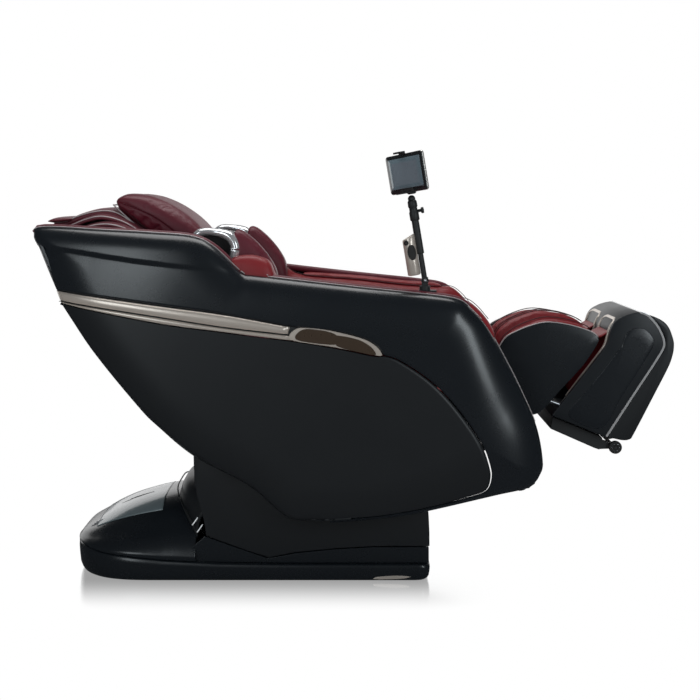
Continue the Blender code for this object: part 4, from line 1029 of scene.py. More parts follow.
class CHAIR_OT_shoulders(bpy.types.Operator):
    """Builds the shoulder pads with their chrome rings and dark openings"""

    bl_idname = "chair.shoulders"
    bl_label = "Shoulders"

    def execute(self, context):
        for side, tag in SIDES:
            low, high = sorted((side * 0.236, side * 0.322))
            outer, inner = smooth(RING_OUTER, 60), smooth(RING_INNER, 60)
            middle = (outer + inner) / 2
            broad = np.linalg.norm(outer - inner, axis=1) / 2
            path = np.stack([middle[:, 0], np.full(60, side * 0.306), middle[:, 1]], axis=1)
            ends = np.clip(np.minimum(np.arange(60), np.arange(60)[::-1]) / 5, 0.25, 1)
            ring = tube(f"shoulder_ring_{tag}", path, broad * ends, 18, flat=1.5, up=(0, 0, 1))
            dress(ring, chrome(), "body")
            outline = np.vstack([inner, [(-0.440, 0.960), (-0.480, 0.990)]])
            dark = plate(f"shoulder_opening_{tag}", smooth(outline, 60, True),
                         *sorted((side * 0.262, side * 0.292)),
                         edge=0.003)
            dress(dark, sock_cloth(), "body")
            soft(f"shoulder_cushion_{tag}",
                 [(-0.378, 1.034), (-0.366, 1.066), (-0.342, 1.062), (-0.308, 1.034),
                  (-0.274, 0.994), (-0.245, 0.946), (-0.238, 0.880)],
                 [(-0.374, 1.000), (-0.372, 0.950), (-0.365, 0.920), (-0.345, 0.885),
                  (-0.318, 0.855), (-0.290, 0.835), (-0.262, 0.830)],
                 low, high, stands_for=[f"shoulder_unit_{tag}"], cap=0.005, voxel=0.006, square=3.4, ends=8)
            soft(f"shoulder_back_{tag}",
                 [(-0.560, 0.995), (-0.500, 0.990), (-0.440, 0.960), (-0.390, 0.930)],
                 [(-0.560, 0.900), (-0.500, 0.880), (-0.440, 0.855), (-0.380, 0.830)],
                 *sorted((side * 0.236, side * 0.330)), cap=0.004, voxel=0.007)
        return {"FINISHED"}


ARM_PAD_TOP = [(-0.392, 0.962), (-0.375, 0.988), (-0.330, 0.996), (-0.292, 0.990), (-0.264, 0.974),
               (-0.238, 0.925), (-0.180, 0.901), (0.000, 0.886), (0.150, 0.869), (0.262, 0.862),
               (0.315, 0.862), (0.350, 0.840), (0.385, 0.800), (0.403, 0.765), (0.400, 0.735)]
ARM_PAD_FOOT = [(-0.390, 0.940), (-0.372, 0.900), (-0.330, 0.840), (-0.290, 0.780), (-0.255, 0.710),
                (-0.215, 0.640), (-0.150, 0.575), (0.000, 0.535), (0.110, 0.545), (0.195, 0.578),
                (0.260, 0.615), (0.310, 0.655), (0.345, 0.690), (0.372, 0.712), (0.392, 0.722)]


class CHAIR_OT_arms(bpy.types.Operator):
    """Builds the padded arms with the welt along their top, and the stitches beside it"""

    bl_idname = "chair.arms"
    bl_label = "Arms"

    def execute(self, context):
        for side, tag in SIDES:
            low, high = sorted((side * 0.2650, side * 0.366))
            soft(f"arm_cushion_{tag}", ARM_PAD_TOP, ARM_PAD_FOOT, low, high, "red",
                 stands_for=[f"arm_liner_{tag}"],
                 cap=0.004, voxel=0.007, square=4.2, ends=11, length=120, sides=56)
            line = smooth(ARM_PAD_TOP[1:-2], 150)
            path = np.stack([line[:, 0], np.full(150, side * 0.284), line[:, 1] + 0.001], axis=1)
            seam_cord(f"arm_welt_{tag}", path, "red", 0.0011)
            rest = smooth([(-0.190, 0.905), (0.000, 0.8925), (0.150, 0.876), (0.265, 0.868),
                           (0.292, 0.856)], 90)
            low_rest, high_rest = sorted((side * 0.290, side * 0.345))
            soft(f"arm_rest_{tag}", rest + np.array([0, 0.002]), rest - np.array([0, 0.012]), low_rest,
                 high_rest, "red",
                 cap=0.003, voxel=0.005, square=2.8, ends=14)
            row = np.stack([line[:, 0], np.full(150, side * 0.279), line[:, 1] - 0.001], axis=1)
            dots = stitches(f"arm_stitches_{tag}", row[20:-20], 0.008)
            dress(dots, thread("red"), "body")
        return {"FINISHED"}


def channels(points, normals, line, count, depth, width):
    """Grooves across a cushion at even steps along a side-view line."""
    curve = smooth(line, 300)
    flat = points[:, [0, 2]]
    apart = np.linalg.norm(flat[:, None] - curve[None, ::3], axis=2)
    along = apart.argmin(axis=1) / (len(curve[::3]) - 1) * count
    offset = np.abs(along - np.round(along)) / count
    length = np.linalg.norm(np.diff(curve, axis=0), axis=1).sum()
    groove = np.exp(-((offset * length / width) ** 2))
    inside = (np.round(along) > 0) & (np.round(along) < count)
    return normals * (-depth * groove * inside)[:, None]


def polar(radius, start, end, count):
    turn = np.radians(np.linspace(start, end, count))
    return np.stack([0.15 + radius * np.cos(turn), 1.357 + radius * np.sin(turn)], axis=1)


class CHAIR_OT_seat(bpy.types.Operator):
    """Builds the seat cushion and the back cushion with their sewn channels"""

    bl_idname = "chair.seat"
    bl_label = "Seat and back"

    def execute(self, context):
        def back_channels(points, normals):
            groove = channels(points, normals, polar(0.82, -150, -108, 40), 7, 0.006, 0.006)
            middle = np.exp(-(((np.abs(points[:, 1]) - 0.085) / 0.006) ** 2))[:, None]
            up = np.array([0.55, 0, 0.83])
            facing = np.clip(normals @ up, 0, 1)[:, None]
            return groove * facing - normals * 0.005 * middle * facing

        soft("back_cushion_cover", polar(0.772, -149.3, -108.2, 12), polar(0.864, -149.3, -108.2, 12),
             -0.246, 0.246,
             stands_for=["back_cushion"], cap=0.004, voxel=0.0075, change=back_channels, square=5, ends=18,
             length=80, sides=60)

        def seat_channels(points, normals):
            line = [(-0.10, 0.52), (0.02, 0.515), (0.16, 0.55), (0.32, 0.65)]
            facing = np.clip(normals[:, 2], 0, 1)[:, None]
            groove = channels(points, normals, line, 5, 0.005, 0.006)
            middle = np.exp(-(((np.abs(points[:, 1]) - 0.16) / 0.005) ** 2))[:, None]
            inner = (np.abs(points[:, 1]) < 0.16)[:, None]
            return groove * facing * inner - normals * 0.005 * middle * facing

        soft("seat_cushion_cover",
             [(-0.100, 0.505), (-0.040, 0.513), (0.020, 0.514), (0.090, 0.528), (0.160, 0.547),
              (0.240, 0.590), (0.310, 0.636), (0.352, 0.654)],
             [(-0.084, 0.446), (-0.040, 0.446), (0.020, 0.447), (0.090, 0.458), (0.163, 0.482),
              (0.235, 0.522), (0.300, 0.562), (0.345, 0.590)],
             -0.250, 0.250, "red", stands_for=["seat_cushion"], cap=0.005, voxel=0.0075,
             change=seat_channels, square=5, ends=16, length=80, sides=60)
        return {"FINISHED"}


# The leg unit

CALF_SIDE = [
    (0.410, 0.642), (0.394, 0.652), (0.391, 0.664), (0.402, 0.684), (0.424, 0.706), (0.446, 0.738),
    (0.480, 0.757), (0.514, 0.771), (0.555, 0.782), (0.590, 0.783), (0.640, 0.775), (0.683, 0.763),
    (0.712, 0.751), (0.727, 0.738), (0.726, 0.720), (0.686, 0.656), (0.619, 0.580), (0.570, 0.524),
    (0.548, 0.505), (0.525, 0.500), (0.500, 0.508), (0.470, 0.540), (0.440, 0.585),
]
CALF_TOP = [(0.430, 0.690), (0.440, 0.728), (0.470, 0.757), (0.514, 0.779), (0.556, 0.792),
            (0.590, 0.794), (0.640, 0.787), (0.690, 0.771), (0.720, 0.752)]
CALF_FOOT = [(0.436, 0.650), (0.458, 0.640), (0.490, 0.625), (0.530, 0.608), (0.580, 0.588),
             (0.615, 0.590), (0.650, 0.636), (0.690, 0.690), (0.716, 0.730)]


def lifted(points, up):
    return [(x, z + up) for x, z in points]


class CHAIR_OT_calves(bpy.types.Operator):
    """Builds the calf unit's gloss sides, its three welted pads and the piping along its sides"""

    bl_idname = "chair.calves"
    bl_label = "Calf unit"

    def execute(self, context):
        outline = smooth(CALF_SIDE, 160, closed=True)
        for side, tag in SIDES:
            low, high = sorted((side * 0.2125, side * 0.2195))
            cover = plate(f"calf_side_cover_{tag}", outline, low, high, edge=0.003, crown=0.004)
            dress(cover, gloss_lacquer(), "legrest", [f"calf_side_{tag}"])
            rim = smooth(CALF_SIDE[4:14], 120)
            path = np.stack([rim[:, 0], np.full(120, side * 0.2175), rim[:, 1] + 0.0015], axis=1)
            piping(f"calf_piping_{tag}", path, 0.0018, "legrest")
            a, b = sorted((side * 0.1625, side * 0.2105))
            soft(f"calf_cushion_{tag}", CALF_TOP, CALF_FOOT, a, b, "red", "legrest", [f"calf_pad_{tag}"],
                 cap=0.004,
                 voxel=0.0055, square=3.0, ends=8)
            welt = smooth(lifted(CALF_TOP, 0.0025), 90)[4:-3]
            path = np.stack([welt[:, 0], np.full(len(welt), side * 0.1685), welt[:, 1]], axis=1)
            seam_cord(f"calf_welt_{tag}", path, "red", 0.0014, "legrest")
            pin = turned(f"knee_cap_{tag}",
                         [(0, side * 0.2245), (0.007, side * 0.2240), (0.010, side * 0.2215),
                                            (0.0105, side * 0.214), (0, side * 0.214)], (0.41, 0, 0.66))
            dress(pin, steel(), "legrest")
        soft("calf_cushion_centre", lifted(CALF_TOP, 0.010), CALF_FOOT, -0.0285, 0.0285, "red", "legrest",
             ["calf_pad_centre"], cap=0.004, voxel=0.0055, square=2.8, ends=8)
        for side, tag in SIDES:
            welt = smooth(lifted(CALF_TOP, 0.0105), 90)[4:-3]
            path = np.stack([welt[:, 0], np.full(len(welt), side * 0.0205), welt[:, 1]], axis=1)
            seam_cord(f"calf_centre_welt_{tag}", path, "red", 0.0014, "legrest")
            low, high = sorted((side * 0.030, side * 0.161))
            soft(f"calf_well_pad_{tag}", [(0.448, 0.652), (0.500, 0.640), (0.550, 0.618), (0.598, 0.594)],
                 [(0.446, 0.644), (0.500, 0.620), (0.550, 0.598), (0.598, 0.576)], low, high, "red",
                 "legrest",
                 cap=0.003, voxel=0.006, square=4)
        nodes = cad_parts
        nodes["calf_tray"].data.materials[0] = dark_plastic()
        return {"FINISHED"}


FOOT_SIDE = [
    (0.590, 0.498), (0.632, 0.553), (0.690, 0.630), (0.735, 0.690), (0.753, 0.716), (0.759, 0.736),
    (0.764, 0.758), (0.772, 0.778), (0.785, 0.793), (0.812, 0.807), (0.838, 0.814), (0.852, 0.815),
    (0.868, 0.810), (0.883, 0.799), (0.905, 0.774), (0.919, 0.750), (0.926, 0.730), (0.926, 0.708),
    (0.906, 0.671), (0.850, 0.581), (0.800, 0.500), (0.757, 0.430),
]
FOOT_WELL = [
    (0.560, 0.560), (0.650, 0.520), (0.738, 0.478), (0.790, 0.560), (0.840, 0.640), (0.880, 0.708),
    (0.884, 0.735), (0.868, 0.768), (0.840, 0.778), (0.800, 0.770), (0.720, 0.735), (0.600, 0.700),
]
MOUTH_LINE = [(0.640, 0.552), (0.690, 0.6205), (0.735, 0.6805), (0.7535, 0.708), (0.7605, 0.731),
              (0.7665, 0.755), (0.776, 0.776)]
SOLE = [
    (0.886, 0.8035), (0.911, 0.775), (0.925, 0.752), (0.932, 0.735), (0.932, 0.708), (0.912, 0.668),
    (0.840, 0.553), (0.766, 0.434), (0.782, 0.426), (0.812, 0.420), (0.832, 0.424), (0.843, 0.440),
    (0.900, 0.556), (0.943, 0.645), (0.955, 0.680), (0.959, 0.705), (0.957, 0.730), (0.942, 0.768),
    (0.920, 0.790),
]


def extruded(name, outline, low, high, edge=0.003):
    """A block across the chair with a side-view outline, its long edges rounded by a Bevel."""
    outline = np.asarray(outline, float)
    count = len(outline)
    points = np.concatenate([np.insert(outline, 1, low, axis=1), np.insert(outline, 1, high, axis=1)])
    index = np.arange(count)
    after = np.roll(index, -1)
    faces = [list(index), list((index + count)[::-1])]
    faces += np.stack([after, index, index + count, after + count], axis=1).tolist()
    mesh = bpy.data.meshes.new(name)
    mesh.from_pydata(points.tolist(), [], faces)
    obj = bpy.data.objects.new(name, mesh)
    bpy.context.scene.collection.objects.link(obj)
    if volume_of(mesh) < 0:
        mesh.flip_normals()
    if edge:
        bevel = obj.modifiers.new("edge", "BEVEL")
        bevel.width = edge
        bevel.segments = 3
        bevel.limit_method = "ANGLE"
        bevel.angle_limit = math.radians(38)
    return obj


def cut_from(obj, others):
    """Cuts closed meshes out of a block before its edges are rounded."""
    bevels = [(m.width, m.angle_limit) for m in obj.modifiers if m.type == "BEVEL"]
    obj.modifiers.clear()
    for other in others:
        step = obj.modifiers.new("cut", "BOOLEAN")
        step.object = other
        step.operation = "DIFFERENCE"
        step.solver = "EXACT"
    settle(obj)
    for other in others:
        bpy.data.objects.remove(other)
    for width, limit in bevels:
        bevel = obj.modifiers.new("edge", "BEVEL")
        bevel.width = width
        bevel.segments = 3
        bevel.limit_method = "ANGLE"
        bevel.angle_limit = limit
        settle(obj)
    obj.data.set_sharp_from_angle(angle=math.radians(42))
    return obj


def mouth_ring(side):
    """The rim of a foot well's mouth: up the slanted face, round its top and down again."""
    line = smooth(MOUTH_LINE, 40)
    lift = aside(line, 0.0035)
    inner, outer, corner = 0.036, 0.192, 0.030
    turn = np.linspace(0, math.pi / 2, 12)
    side_run = np.full(40, inner)
    first = np.stack([lift[:, 0], side * side_run, lift[:, 1]], axis=1)
    last = np.stack([lift[:, 0], side * np.full(40, outer), lift[:, 1]], axis=1)[::-1]
    top = lift[-1]
    crown = []
    for a in turn:
        crown.append([top[0] + 0.012 * math.sin(a), side * (inner + corner * (1 - math.cos(a))),
                      top[1] + 0.012 * math.sin(a)])
    for a in turn[::-1]:
        crown.append([top[0] + 0.012 * math.sin(a), side * (outer - corner * (1 - math.cos(a))),
                      top[1] + 0.012 * math.sin(a)])
    return np.concatenate([first[:-1], np.array(crown), last[1:]])


class CHAIR_OT_feet(bpy.types.Operator):
    """Builds the foot unit: case, wells, linings, rims, chrome line, sole, slide bars and wheels"""

    bl_idname = "chair.feet"
    bl_label = "Foot unit"

    def execute(self, context):
        rounded = smooth(FOOT_SIDE, 120)
        case = extruded("foot_case", rounded, -0.2195, 0.2195, 0.007)
        wells = [
            extruded("well", smooth(FOOT_WELL, 70, True), *sorted((s * 0.0285, s * 0.1985)), 0)
            for s in (-1, 1)
        ]
        cut_from(case, wells)
        semi = material("Semi-gloss black", finishes().gloss, 0.38, 0.04, Specular_IOR_Level=0.35)
        dress(case, semi, "foot", ["foot_box"])
        for side, tag in SIDES:
            ring = tube(f"foot_mouth_rim_{tag}", mouth_ring(side), 0.0042, 12, flat=1.5, up=(0.8, 0, -0.6))
            dress(ring, champagne(), "foot")
            groove = plate(f"foot_side_panel_{tag}",
                           smooth([(0.640, 0.500), (0.700, 0.580), (0.770, 0.672), (0.800, 0.716),
                                   (0.812, 0.748), (0.834, 0.766), (0.866, 0.764), (0.890, 0.744),
                                   (0.896, 0.716), (0.868, 0.662), (0.800, 0.552), (0.742, 0.458)],
                                  120, True),
                           *sorted((side * 0.214, side * 0.2212)), edge=0.0025, crown=0.0012)
            dress(groove, gloss_lacquer(), "foot")
            toe = smooth([(0.735, 0.735), (0.790, 0.762), (0.840, 0.770), (0.866, 0.758),
                          (0.873, 0.735), (0.850, 0.690), (0.800, 0.612), (0.752, 0.535)], 80)
            grid = np.stack([np.insert(toe, 1, side * y, axis=1) for y in np.linspace(0.032, 0.195, 14)])
            lining = sheet(f"foot_lining_toe_{tag}", grid, 0.004, (-1, 0, 0.2))
            dress(lining, leather("red"), "foot")
            for y, label in ((0.0315, "inner"), (0.1955, "outer")):
                wall = smooth([(0.662, 0.560), (0.735, 0.535), (0.800, 0.628), (0.862, 0.725),
                               (0.846, 0.765), (0.790, 0.758), (0.762, 0.722), (0.700, 0.640)], 90, True)
                a, b = sorted((side * (y - 0.0022), side * (y + 0.0022)))
                face = plate(f"foot_wall_{label}_{tag}", wall, a, b, edge=0.002, crown=0.002)
                dress(face, leather("red"), "foot")
        bright = aside(smooth([(0.853, 0.8155), (0.868, 0.811), (0.884, 0.800), (0.906, 0.775),
                               (0.920, 0.750), (0.9275, 0.730), (0.9275, 0.708), (0.9075, 0.670),
                               (0.850, 0.578), (0.800, 0.498), (0.759, 0.432)], 140), -0.0005)
        strip = extruded("foot_bright_line",
                         np.vstack([aside(bright, 0.0028), aside(bright, -0.0040)[::-1]]),
                         -0.2212, 0.2212, 0.0008)
        dress(strip, chrome(), "foot")
        sole = extruded("sole_shell", smooth(SOLE, 130, True), -0.2175, 0.2175, 0.006)
        settle(sole)
        sole.data.set_sharp_from_angle(angle=math.radians(40))
        dress(sole, satin_plastic(), "foot", ["sole_plate"])
        for side, tag in SIDES:
            tail, front = np.array([0.450, side * 0.2045, 0.591]), np.array([0.660, side * 0.2045, 0.5125])
            bar = tube(f"foot_slide_bar_{tag}", np.linspace(tail, front, 12), 0.006, 16)
            dress(bar, steel(), "foot")
            ring = [(0.0062, 0.0), (0.0098, 0.0), (0.0105, 0.002), (0.0105, 0.016), (0.0098, 0.018),
                    (0.0062, 0.018), (0.0062, 0.0)]
            along = (front - tail) / np.linalg.norm(front - tail)
            guide = turned(f"calf_guide_ring_{tag}", ring, tuple(tail + along * 0.118), tuple(along), 28)
            dress(guide, dark_plastic(), "legrest")
        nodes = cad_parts
        nodes["foot_rail"].data.materials[0] = dark_plastic()
        nodes["sole_roller"].data.materials[0] = rubber()
        for side, tag in SIDES:
            y = side * 0.19
            profile = [(0.0054, y + 0.009), (0.0155, y + 0.009), (0.0162, y + 0.0078), (0.0175, y + 0.009),
                       (0.0195, y + 0.0075), (0.020, y + 0.004), (0.020, y - 0.004), (0.0195, y - 0.0075),
                       (0.0175, y - 0.009), (0.0162, y - 0.0078), (0.0155, y - 0.009), (0.0054, y - 0.009),
                       (0.0054, y + 0.009)]
            tyre = turned(f"foot_wheel_tyre_{tag}", profile, (0.792, 0, 0.394))
            dress(tyre, rubber(), f"wheel_{tag}", [f"foot_wheel_{tag}"])
            bolts = []
            for k in range(6):
                a = k * math.pi / 3
                at = (0.792 + 0.0112 * math.cos(a), 0, 0.394 + 0.0112 * math.sin(a))
                face = y + side * 0.009
                bolts.append(turned("bolt", [(0, face + side * 0.0012), (0.0016, face + side * 0.0010),
                                             (0.0022, face), (0.0022, face - side * 0.001),
                                             (0, face - side * 0.001)], at, steps=10))
            ring = joined(f"foot_wheel_bolts_{tag}", bolts)
            dress(ring, steel(), f"wheel_{tag}")
        return {"FINISHED"}


# The base

def base_plan(count, inset=0.0):
    """The base's plan outline, from front right to front left: straight sides and a rounded nose."""
    rear, front, half = -0.890 + inset, 0.216 - inset, BASE_HALF + 0.004 - inset
    depth = half * 0.86
    turn = np.linspace(-math.pi / 2, math.pi / 2, 90)
    power = 0.66
    nose = np.stack([rear + depth - depth * np.abs(np.cos(turn)) ** power,
                     half * np.sign(np.sin(turn)) * np.abs(np.sin(turn)) ** power], axis=1)[::-1]
    corner = 0.028
    arc = np.linspace(0, math.pi / 2, 8)
    right = np.stack([front - corner + corner * np.cos(arc), -half + corner - corner * np.sin(arc)], axis=1)
    dense = np.vstack([right * np.array([1, -1]), nose, right[::-1]])
    return read_even(dense, count)


def nose_half(x):
    plan = base_plan(600)
    left = plan[(plan[:, 1] > 0)]
    order = np.argsort(left[:, 0])
    return np.interp(x, left[order, 0], left[order, 1])


TRAY_TOP = [(-0.874, 0.098), (-0.840, 0.094), (-0.780, 0.084), (-0.700, 0.076), (-0.600, 0.066),
            (-0.420, 0.056), (-0.235, 0.0535), (0.216, 0.0535)]


class CHAIR_OT_base(bpy.types.Operator):
    """Builds the base tray, the nose cover with its slot, the collar and the pedestal's covers"""

    bl_idname = "chair.base"
    bl_label = "Base"

    def execute(self, context):
        count = 260
        top = np.array(TRAY_TOP)
        levels = np.array([0.0, 0.0, 0.04, 0.12, 0.25, 0.5, 0.75, 0.93, 0.985, 1.0, 1.0, 1.0])
        insets = np.array([0.20, 0.018, 0.012, 0.007, 0.003, 0.001, 0.0, 0.001, 0.004, 0.010, 0.05, 0.20])
        rows = []
        for level, inset in zip(levels, insets):
            plan = base_plan(count, inset)
            height = np.interp(plan[:, 0], top[:, 0], top[:, 1])
            lower = 0.004 * np.clip((-0.62 - plan[:, 0]) / 0.25, 0, 1) ** 2 * (1 - level)
            rows.append(np.insert(plan, 2, height * level + lower, axis=1))
        grid = np.stack(rows)
        tray = from_arrays("base_shell", grid.reshape(-1, 3), grid_faces(len(rows), count, False, True))
        made = bmesh.new()
        made.from_mesh(tray.data)
        bmesh.ops.holes_fill(made, edges=[e for e in made.edges if e.is_boundary], sides=0)
        made.to_mesh(tray.data)
        made.free()
        if volume_of(tray.data) < 0:
            tray.data.flip_normals()
        tray.data.set_sharp_from_angle(angle=math.radians(50))
        dress(tray, gloss_lacquer(), "base", ["base_tray"])

        length, across = 90, 90
        ridge = smooth([(-0.888, 0.100), (-0.874, 0.116), (-0.83, 0.141), (-0.78, 0.170),
                        (-0.72, 0.196), (-0.64, 0.220), (-0.565, 0.236), (-0.530, 0.238),
                        (-0.498, 0.238)], length)
        span = np.linspace(-1, 1, across)
        bulge = np.clip(1 - np.abs(span) ** 3.0, 0, 1) ** 0.85
        shoulder = np.exp(-(((np.abs(span) - 0.80) / 0.10) ** 2))
        half = np.maximum(nose_half(ridge[:, 0]) - 0.0015, 0.004)
        edge = np.interp(ridge[:, 0], top[:, 0], top[:, 1]) + 0.003
        rise = np.clip((ridge[:, 0] + 0.874) / 0.06, 0, 1)[:, None]
        grid = np.zeros((length, across, 3))
        grid[..., 0] = ridge[:, :1]
        grid[..., 1] = span * half[:, None]
        grid[..., 2] = edge[:, None] + (ridge[:, 1] - edge)[:, None] * bulge - 0.006 * shoulder * rise
        cover = sheet("nose_shell", grid, 0.004, (0, 0, 1))
        dress(cover, gloss_lacquer(), "base", ["nose_cover"])

        def on_nose(x, y, lift):
            """A point on the nose cover."""
            i = int(np.argmin(np.abs(ridge[:, 0] - x)))
            j = int(np.argmin(np.abs(span * half[i] - y)))
            return grid[i, j] + np.array([0, 0, lift])

        # The insert on the nose's top is a real separate panel, but its pale blue-grey colour is a painted
        # reflection of the light above.
        low, high = 17, 66
        keep = np.abs(span) < 0.62
        window = grid[low:high][:, keep].copy()
        window[..., 2] += 0.0016
        glass = sheet("nose_window", window, 0.001, (0, 0, 1))
        insert_with_painted_reflection = material("Smoked insert", (0.115, 0.145, 0.155), 0.24, 0.05, Coat_Weight=0.5,
                          Coat_Roughness=0.1)
        dress(glass, insert_with_painted_reflection, "base")
        slot = np.array([on_nose(x, -0.02, 0.0016) for x in np.linspace(-0.765, -0.660, 40)])
        dress(tube("nose_slot", slot, np.interp(np.arange(40), [0, 20, 39], [0.0006, 0.0016, 0.0006]), 8,
                   flat=2.6),
              dark_plastic(), "base")
        lens = np.array([on_nose(x, -0.120, -0.0005) for x in np.linspace(-0.848, -0.800, 30)])
        dress(tube("nose_lens", lens, np.interp(np.arange(30), [0, 15, 29], [0.001, 0.0055, 0.001]), 10,
                   flat=1.6),
              chrome(), "base")

        collar = smooth([(-0.5665, 0.232), (-0.560, 0.262), (-0.545, 0.281), (-0.512, 0.291),
                         (-0.505, 0.291)], 30)
        spread = np.linspace(-1, 1, 70)
        grid = np.zeros((30, 70, 3))
        pull = np.abs(spread) ** 4
        grid[..., 0] = collar[:, :1] + 0.070 * pull
        grid[..., 1] = spread * 0.263
        grid[..., 2] = collar[:, 1:] - 0.105 * pull * (0.6 + 0.4 * np.linspace(1, 0, 30)[:, None])
        boot = sheet("collar_shell", grid, 0.004, (-1, 0, 1))
        dress(boot, satin_plastic(), "base", ["boot_collar"])
        for k, shift in enumerate((0.0, -0.012)):
            welt = grid[2 + 5 * k] + np.array([shift, 0, 0.001])
            dress(tube(f"collar_welt_{k}", welt, 0.0022, 8), dark_plastic(), "base")

        skirt = [(-0.501, 0.415), (-0.5005, 0.385), (-0.500, 0.351), (-0.497, 0.305),
                 (-0.491, 0.262), (-0.478, 0.215), (-0.469, 0.173), (-0.466, 0.141),
                 (-0.435, 0.128), (-0.402, 0.116), (-0.340, 0.093), (-0.275, 0.072),
                 (-0.235, 0.080), (-0.196, 0.088), (-0.074, 0.100), (0.045, 0.107), (0.130, 0.1075),
                 (0.214, 0.107), (0.2135, 0.150), (0.211, 0.200), (0.205, 0.268), (0.0, 0.269),
                 (-0.200, 0.270), (-0.330, 0.330), (-0.420, 0.413), (-0.460, 0.415)]
        for side, tag in SIDES:
            wall = extruded(f"pedestal_cover_{tag}", skirt, *sorted((side * 0.2815, side * 0.2905)), 0.0025)
            settle(wall)
            wall.data.set_sharp_from_angle(angle=math.radians(40))
            dress(wall, satin_plastic(), "base", [f"pedestal_skirt_{tag}"])
            lower = [(-0.560, 0.060), (-0.470, 0.137), (-0.402, 0.112), (-0.280, 0.069),
                     (-0.235, 0.076), (-0.196, 0.084), (-0.074, 0.0965), (0.045, 0.1035),
                     (0.2120, 0.1035), (0.2125, 0.054), (-0.235, 0.054), (-0.420, 0.0565)]
            band = extruded(f"pedestal_band_{tag}", lower, *sorted((side * 0.272, side * 0.2870)), 0.002)
            dress(band, gloss_lacquer(), "base")
            leaf = smooth([(0.042, 0.0085), (0.075, 0.0200), (0.109, 0.0255), (0.150, 0.0290),
                           (0.178, 0.0285), (0.165, 0.0175), (0.139, 0.0100), (0.090, 0.0070)], 80, True)
            inlay = plate(f"base_leaf_{tag}", leaf, *sorted((side * 0.296, side * 0.3012)), edge=0.001,
                          crown=0.0006)
            dress(inlay, champagne(), "base")
            seam = np.array([[-0.413, side * 0.3000, z] for z in np.linspace(0.008, 0.055, 12)])
            dress(tube(f"base_seam_{tag}", seam, 0.0008, 6), dark_plastic(), "base")
            for k, x in enumerate((-0.4905, -0.4840)):
                bar = np.array([[x, side * 0.2865, 0.196], [x - 0.008, side * 0.2875, 0.184],
                                [x - 0.017, side * 0.2865, 0.172]]) + np.array([0.008 * k, 0, -0.022 * k])
                glow = material("Light strip", (0.75, 0.77, 0.78), 0.3, 0.02)
                dress(tube(f"light_strip_{k}_{tag}", bar, 0.0018, 8), glow, "base")
        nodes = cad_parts
        for name in ("slide_rail_left", "slide_rail_right"):
            nodes[name].data.materials[0] = steel()
        for name in ("rear_cover", "front_cover"):
            nodes[name].data.materials[0] = satin_plastic()
        for name in ("air_pump", "power_inlet", "power_switch"):
            nodes[name].data.materials[0] = dark_plastic()
        return {"FINISHED"}


# The tablet and its stand

STAND = np.array([0.192, -0.335, 0.91842])
ALONG = np.array([-0.166769, 0.0, 0.985996])
POLE_TOP = np.array([0.15006, -0.335, 1.1664])
WIDTH = np.array([0.527803, -0.844662, 0.089271])
FACING = np.array([-0.832834, -0.5353, -0.140863])


def tablet_slab(name, half, low, high, back, front, corner=0.008, edge=0.0015):
    """A rounded rectangle in the tablet's own axes, with a rounded edge on both faces."""
    turn = np.linspace(0, math.pi / 2, 9)
    arcs = []
    for cx, cz, start in ((half - corner, high - corner, 0), (-half + corner, high - corner, 1),
                          (-half + corner, low + corner, 2), (half - corner, low + corner, 3)):
        a = turn + start * math.pi / 2
        arcs.append(np.stack([cx + corner * np.cos(a), cz + corner * np.sin(a)], axis=1))
    outline = np.vstack(arcs)
    middle = outline.mean(axis=0)
    rows = []
    for share, inset, depth in ((1, 0, back), (0.3, edge, back), (0, edge, back),
                                (0, edge * 0.3, back + edge * 0.3),
                                (0, 0, back + edge), (0, 0, front - edge),
                                (0, edge * 0.3, front - edge * 0.3),
                                (0, edge, front), (0.3, edge, front), (1, 0, front)):
        inward = middle - outline
        inward /= np.linalg.norm(inward, axis=1)[:, None]
        flat = (outline + inward * inset) * (1 - share) + middle * share
        rows.append(POLE_TOP + [0.012, 0, 0] + flat[:, :1] * WIDTH + flat[:, 1:] * ALONG + depth * FACING)
    grid = np.stack(rows)
    obj = from_arrays(name, grid.reshape(-1, 3), grid_faces(len(rows), len(outline), False, True))
    tidy_solid(obj, 1e-6)
    obj.data.set_sharp_from_angle(angle=math.radians(60))
    return obj


def screen_glass():
    """Dark glass over a display that is off, with a painted reflection: lighter and bluer towards one
    corner.
    """
    if "Tablet screen" in bpy.data.materials:
        return bpy.data.materials["Tablet screen"]
    made = material("Tablet screen", (0.06, 0.085, 0.105), 0.10, 0.02, Coat_Weight=0.6, Coat_Roughness=0.03)
    tree = made.node_tree
    place = node(tree, "ShaderNodeTexCoord")
    slide = node(tree, "ShaderNodeMapping", {"Location": (-0.10, 0.33, -1.20), "Scale": (6.0, 6.0, 6.0)})
    painted_reflection_ramp = node(tree, "ShaderNodeTexGradient")
    tree.links.new(place.outputs["Object"], slide.inputs["Vector"])
    tree.links.new(slide.outputs["Vector"], painted_reflection_ramp.inputs["Vector"])
    # Painted reflection: the glass's colour grows lighter and bluer towards one corner.
    tint = blend_colours(tree, painted_reflection_ramp.outputs["Fac"], (0.150, 0.205, 0.235), (0.085, 0.115, 0.135))
    tree.links.new(tint, tree.nodes["Principled BSDF"].inputs["Base Color"])
    return made


